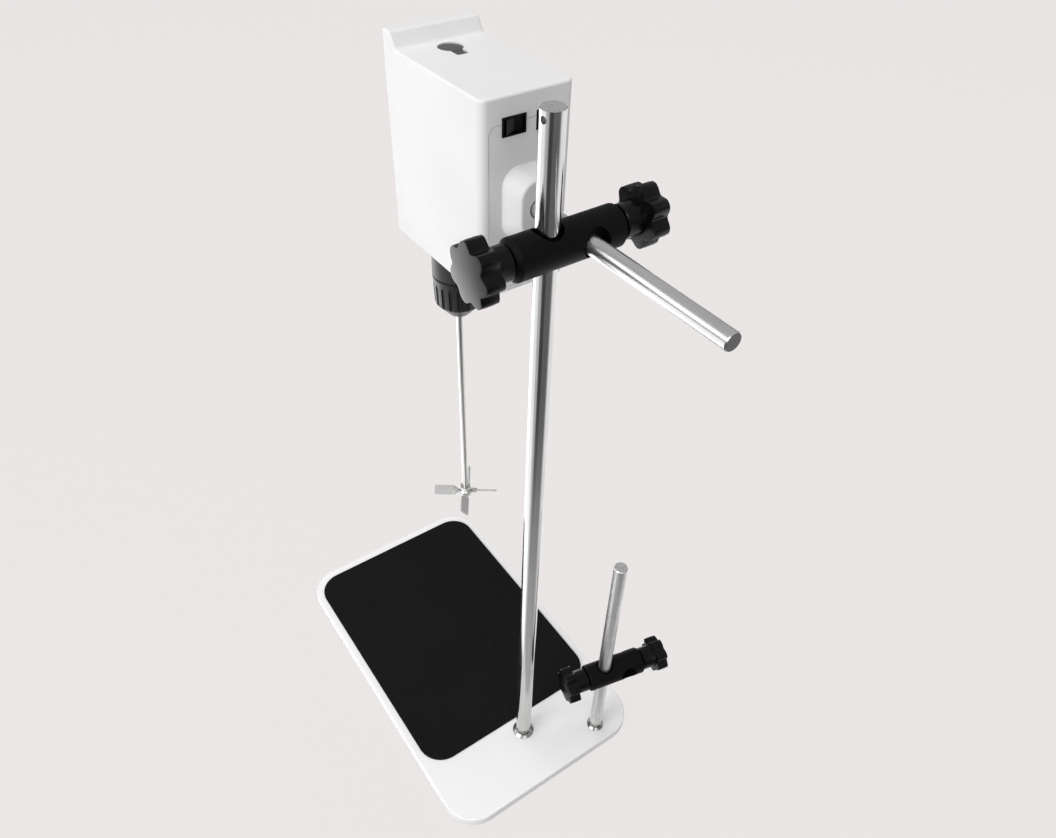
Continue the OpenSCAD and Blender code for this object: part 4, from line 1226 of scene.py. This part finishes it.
@dataclass
class Stirrer:
    """The four-bladed propeller and its two nuts. Sizes in metres, angles in degrees."""

    wardrobe: Wardrobe
    blades: int = 4
    reach: float = 32.5 * MM
    root: float = 5 * MM
    hub: float = 7 * MM
    hub_edge: float = 0.3 * MM
    neck: float = 5.6 * MM
    blade: float = 10 * MM
    tip_corner: float = 0.5 * MM
    twist_from: float = 8.5 * MM
    twist_to: float = 13.5 * MM
    pitch: float = -45.0
    thickness: float = 1.6 * MM
    edge: float = 0.25 * MM
    edge_steps: int = 2
    edge_angle: float = 50.0
    columns: int = 32
    rows: int = 4
    blade_shade: float = 40.0
    nut_shade: float = 25.0
    turn: float = 55.5
    shaft: float = 3.02 * MM
    lower_nut: HexNut = field(default_factory=lambda: HexNut(10 * MM, 5 * MM, 6.04 * MM))
    upper_nut: HexNut = field(default_factory=lambda: HexNut(10 * MM, 6 * MM, 6.04 * MM, flange=14.4 * MM))

    def twist(self, x: float) -> float:
        """Return the share of the twist that an arm has at a distance from the axis."""
        share = min(1.0, max(0.0, (x - self.twist_from) / (self.twist_to - self.twist_from)))
        return share * share * (3 - 2 * share)

    def width(self, x: float) -> float:
        """Return an arm's width at a distance from the axis."""
        width = self.neck + (self.blade - self.neck) * self.twist(x)
        inside = self.tip_corner - (self.reach - x)
        if inside > 0:
            width -= 2 * (self.tip_corner - math.sqrt(self.tip_corner ** 2 - inside ** 2))
        return width

    def arm(self) -> Workpiece:
        """Model one arm along X: a neck that turns into a pitched blade with round corners.

        Returns:
            The piece.
        """
        length = self.reach - self.root
        step = length / self.columns
        arm = Workpiece.start(bpy.ops.mesh.primitive_grid_add, x_subdivisions=self.columns,
                              y_subdivisions=self.rows, size=length, location=(self.root + length / 2, 0, 0))
        with arm.editing():
            pick_all()
            bpy.ops.transform.resize(value=(1, self.blade / length, 1), center_override=(0, 0, 0))
            for n in range(self.columns + 1):
                x = self.root + step * n
                arm.pick(Pick.VERTS, lambda v: abs(v.co.x - x) < step / 4)
                bpy.ops.transform.resize(value=(1, self.width(x) / self.blade, 1), center_override=(x, 0, 0))
                bpy.ops.transform.rotate(value=-math.radians(self.pitch) * self.twist(x), orient_axis="X",
                                         center_override=(x, 0, 0))
        arm.apply("SOLIDIFY", thickness=self.thickness, offset=0.0)
        return arm.soften(self.edge, self.edge_steps, self.edge_angle)

    def build(self) -> None:
        """Model and dress the propeller and its nuts."""
        mid = node_middle("propeller")
        half = self.thickness / 2
        disc = Workpiece.drum(self.hub, -half, half)
        disc.round_edges(lambda e: lies_at(e, Axis.Z, [-half, half]), self.hub_edge, self.edge_steps)
        disc.combine(Join.CUT, Workpiece.drum(self.shaft, -PAST, PAST, HOLE_SIDES))
        turns = [self.turn + 360 * n / self.blades for n in range(self.blades)]
        disc.join(*self.arm().copies(turn_about(Axis.Z, degrees) for degrees in turns))
        disc.place(move_to(*mid)).smooth(self.blade_shade)
        self.wardrobe.dress(
            disc, "propeller", "stamped", "stirrer", "shaft_steel", self.wardrobe.blade_steel)
        low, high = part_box("propeller_nuts")
        nuts = self.lower_nut.shape().place(move_to(mid.x, mid.y, low.z))
        nuts.join(self.upper_nut.shape().place(move_to(mid.x, mid.y, high.z - self.upper_nut.height)))
        nuts.smooth(self.nut_shade)
        self.wardrobe.dress(nuts, "propeller_nuts", "turned", "stirrer", "shaft_steel")


@dataclass(frozen=True)
class View:
    """The photograph's camera: place in metres, turns in radians, lens and sensor in millimetres."""

    place: Triple = (0.28060, 0.49727, 0.89118)
    yaw: float = -2.53968
    pitch: float = -0.75224
    roll: float = 0.01253
    lens: float = 28.348
    sensor: float = 36.0
    shift: Pair = (0.02141, 0.01932)
    clip: Pair = (0.01, 100.0)

    def build(self) -> None:
        """Make the camera and let the scene use it."""
        level = math.cos(self.pitch)
        ahead = Vector((math.sin(self.yaw) * level, math.cos(self.yaw) * level, math.sin(self.pitch)))
        right = Vector((math.cos(self.yaw), -math.sin(self.yaw), 0))
        up = right.cross(ahead)
        side = math.cos(self.roll) * right + math.sin(self.roll) * up
        upright = -math.sin(self.roll) * right + math.cos(self.roll) * up
        data = bpy.data.cameras.new("photo_camera")
        data.sensor_fit = "HORIZONTAL"
        data.sensor_width = self.sensor
        data.lens = self.lens
        data.shift_x, data.shift_y = self.shift
        data.clip_start, data.clip_end = self.clip
        camera = bpy.data.objects.new("photo_camera", data)
        bpy.context.scene.collection.objects.link(camera)
        camera.matrix_world = move_to(*self.place) @ Matrix((side, upright, -ahead)).transposed().to_4x4()
        bpy.context.scene.camera = camera


@dataclass(frozen=True)
class SoftBox:
    """A soft area light: where it is, what it points at, its size in metres and its power in watts."""

    name: str
    place: Triple
    target: Triple
    size: Pair
    power: float
    mirrored: bool = True

    def build(self) -> None:
        """Make the light."""
        data = bpy.data.lights.new(self.name, "AREA")
        data.shape = "RECTANGLE"
        data.size, data.size_y = self.size
        data.energy = self.power
        light = bpy.data.objects.new(self.name, data)
        light.visible_glossy = self.mirrored
        bpy.context.scene.collection.objects.link(light)
        aim = (Vector(self.target) - Vector(self.place)).to_track_quat("-Z", "Y")
        light.matrix_world = move_to(*self.place) @ aim.to_matrix().to_4x4()


@dataclass
class Studio:
    """Pale floor, even light, what only reflections see, and the camera.

    Sizes are in metres, azimuths in degrees.
    """

    backdrop: Triple = (0.831, 0.791, 0.791)
    even_share: float = 0.95
    bounce: float = 0.5
    ambient: float = 0.25
    sky: float = 0.5
    floor_size: float = 30.0
    floor_height: float = -0.2 * MM
    boxes: tuple[SoftBox, ...] = (
        SoftBox("key_light", (2.4, 0.4, 1.4), (0.0, 0.0, 0.45), (1.8, 2.2), 45.0),
        SoftBox("top_light", (0.3, -0.9, 5.2), (0.0, 0.0, 0.3), (4.0, 4.0), 141.0, mirrored=False),
        SoftBox("fill_light", (1.0, 2.6, 1.4), (0.0, 0.0, 0.4), (1.6, 1.6), 13.0),
        SoftBox("side_light", (-2.2, 0.8, 1.6), (0.0, 0.0, 0.2), (1.6, 1.6), 9.0, mirrored=False),
    )
    far_glow: tuple[Pair, ...] = (
        (-180, 1.05), (-100, 1.2), (-80, 3.0), (-52, 3.0), (-44, 1.25), (-5, 1.15), (2, 0.62), (22, 0.57),
        (29, 0.07), (57, 0.06), (62, 0.15), (117, 0.16), (131, 0.85), (142, 1.1), (180, 1.05))
    near_glow: tuple[Pair, ...] = (
        (-180, 1.0), (-5, 1.9), (22, 0.54), (117, 0.5), (140, 0.8), (180, 0.9))
    glow_span: Pair = (0.06, 0.6)
    glow_height: float = 0.3 * MM
    wall_glow: float = 0.2
    wall_radius: float = 6.0
    wall_height: float = 1.6
    wall_sides: int = 64
    card_glow: float = 1.9
    card_place: Triple = (2.0, -1.65, 1.7)
    card_size: float = 1.5

    def build(self) -> None:
        """Make the whole set."""
        self.floor()
        self.mirror_floor()
        self.mirror_wall()
        self.mirror_card()
        self.sky_light()
        for box in self.boxes:
            box.build()
        View().build()
        bpy.context.scene.view_settings.view_transform = "Standard"

    def sky_light(self) -> None:
        """Give even light from all around, a little brighter where metal reflects it, and a pale backdrop."""
        world = bpy.data.worlds.new("even_light")
        bpy.context.scene.world = world
        wires = Wiring.of(world)
        mirrored = wires.add("LightPath", {}, "Is Glossy Ray")
        seen = wires.add("LightPath", {}, "Is Camera Ray")
        level = wires.add("MapRange", {"Value": mirrored, "To Min": self.ambient, "To Max": self.sky})
        even = wires.feed(wires.tree.nodes["Background"], {"Color": (1, 1, 1, 1), "Strength": level})
        shown = wires.add("Background", {"Color": opaque(self.backdrop)})
        mix = wires.add("MixShader", {"Fac": seen, 1: even.outputs["Background"], 2: shown})
        wires.feed(wires.tree.nodes["World Output"], {"Surface": mix})

    def floor(self) -> None:
        """Make the floor, which the camera sees almost evenly bright and which still takes a shadow."""
        floor = Workpiece.start(bpy.ops.mesh.primitive_plane_add, size=self.floor_size,
                                location=(0, 0, self.floor_height))
        material = bpy.data.materials.new("studio_floor")
        wires = Wiring.of(material)
        seen = wires.add("LightPath", {}, "Is Camera Ray")
        tone = wires.add("Mix", {"Factor": seen, "A": opaque((self.bounce,) * 3), "B": opaque(self.backdrop)},
                         "Result", data_type="RGBA")
        lit = wires.feed(wires.tree.nodes["Principled BSDF"], {
            "Base Color": tone, "Roughness": 1.0, "Specular IOR Level": 0.0})
        glow = wires.add("Emission", {"Color": opaque(self.backdrop)})
        share = wires.add("Math", {0: seen, 1: self.even_share}, operation="MULTIPLY")
        mix = wires.add("MixShader", {"Fac": share, 1: lit.outputs["BSDF"], 2: glow})
        wires.feed(wires.tree.nodes["Material Output"], {"Surface": mix})
        floor.obj.name = "studio_floor"
        floor.obj.data.materials.append(material)

    @staticmethod
    def only_mirrored(piece: Workpiece, name: str, glow: Callable[[Wiring], float | NodeSocket]) -> None:
        """Put a glowing piece on the set that is seen in reflections only.

        Args:
            piece: The piece.
            name: Its name.
            glow: Gives its brightness, as a value or from nodes that it adds.
        """
        material = bpy.data.materials.new(name)
        wires = Wiring.of(material)
        wires.tree.nodes.remove(wires.tree.nodes["Principled BSDF"])
        light = wires.add("Emission", {"Strength": glow(wires)})
        wires.feed(wires.tree.nodes["Material Output"], {"Surface": light})
        piece.obj.name = name
        piece.obj.data.materials.append(material)
        piece.obj.visible_camera = False
        piece.obj.visible_diffuse = False
        piece.obj.visible_shadow = False

    @staticmethod
    def ramp(wires: Wiring, azimuth: NodeSocket, stops: Sequence[Pair]) -> NodeSocket:
        """Turn an azimuth into a brightness.

        Args:
            wires: The material's wiring.
            azimuth: The azimuth, 0 to 1 for -180 to 180 degrees.
            stops: Azimuth in degrees and brightness of each stop.

        Returns:
            The brightness.
        """
        top = max(value for _, value in stops)
        share = wires.add("ValToRGB", {"Fac": azimuth})
        marks = share.node.color_ramp.elements
        while len(marks) < len(stops):
            marks.new(1.0)
        for mark, (angle, value) in zip(marks, stops):
            mark.position = (angle + 180) / 360
            mark.color = opaque((value / top,) * 3)
        return wires.add("Math", {0: share, 1: top}, operation="MULTIPLY")

    def sector_glow(self, wires: Wiring) -> NodeSocket:
        """Make bright and dark sectors round the column, softer close to it.

        Args:
            wires: The material's wiring.

        Returns:
            The brightness.
        """
        mid = node_middle("column")
        place = wires.add("TexCoord", {}, "Object")
        arm = wires.add("VectorMath", {0: place, 1: (mid.x, mid.y, 0)}, operation="SUBTRACT")
        x, y = (wires.add("SeparateXYZ", {"Vector": arm}, axis.name) for axis in (Axis.X, Axis.Y))
        angle = wires.add("Math", {0: y, 1: x}, operation="ARCTAN2")
        azimuth = wires.add("MapRange", {"Value": angle, "From Min": -math.pi, "From Max": math.pi})
        reach = wires.add("VectorMath", {0: arm}, "Value", operation="LENGTH")
        start, end = self.glow_span
        far = wires.add("MapRange", {"Value": reach, "From Min": start, "From Max": end},
                        interpolation_type="SMOOTHSTEP")
        return wires.add("Mix", {"Factor": far, "A": self.ramp(wires, azimuth, self.near_glow),
                                 "B": self.ramp(wires, azimuth, self.far_glow)}, "Result")

    def mirror_floor(self) -> None:
        """Lay bright and dark sectors round the column that bright metal reflects."""
        mid = node_middle("column")
        disc = Workpiece.start(bpy.ops.mesh.primitive_circle_add, vertices=self.wall_sides, fill_type="NGON",
                               radius=self.wall_radius, location=(mid.x, mid.y, self.glow_height))
        self.only_mirrored(disc, "mirrored_floor", self.sector_glow)

    def mirror_wall(self) -> None:
        """Stand a dark wall round the set that only reflections see."""
        wall = Workpiece.drum(self.wall_radius, 0, self.wall_height, self.wall_sides)
        with wall.editing():
            wall.pick(Pick.FACES, lambda f: abs(f.normal.z) > FACING)
            bpy.ops.mesh.delete(type="ONLY_FACE")
        self.only_mirrored(wall, "mirrored_wall", lambda _: self.wall_glow)

    def mirror_card(self) -> None:
        """Hang a bright card that only reflections see, for the line of light along the support rod."""
        card = Workpiece.start(bpy.ops.mesh.primitive_plane_add, size=self.card_size)
        aim = (node_middle("support_rod") - Vector(self.card_place)).to_track_quat("Z", "Y")
        card.place(move_to(*self.card_place) @ aim.to_matrix().to_4x4())
        self.only_mirrored(card, "mirrored_card", lambda _: self.card_glow)


def main() -> None:
    """Dress the frame, model the finer pieces and set up the studio."""
    logging.basicConfig(level=logging.INFO, format="%(name)s: %(message)s")
    wardrobe = Wardrobe()
    wardrobe.dress_cad_nodes()
    for assembly in (Stand, Clamps, HeadCasing, FrontKnob, Chuck, Stirrer):
        assembly(wardrobe).build()
    Studio().build()


if __name__ == "__main__":
    main()
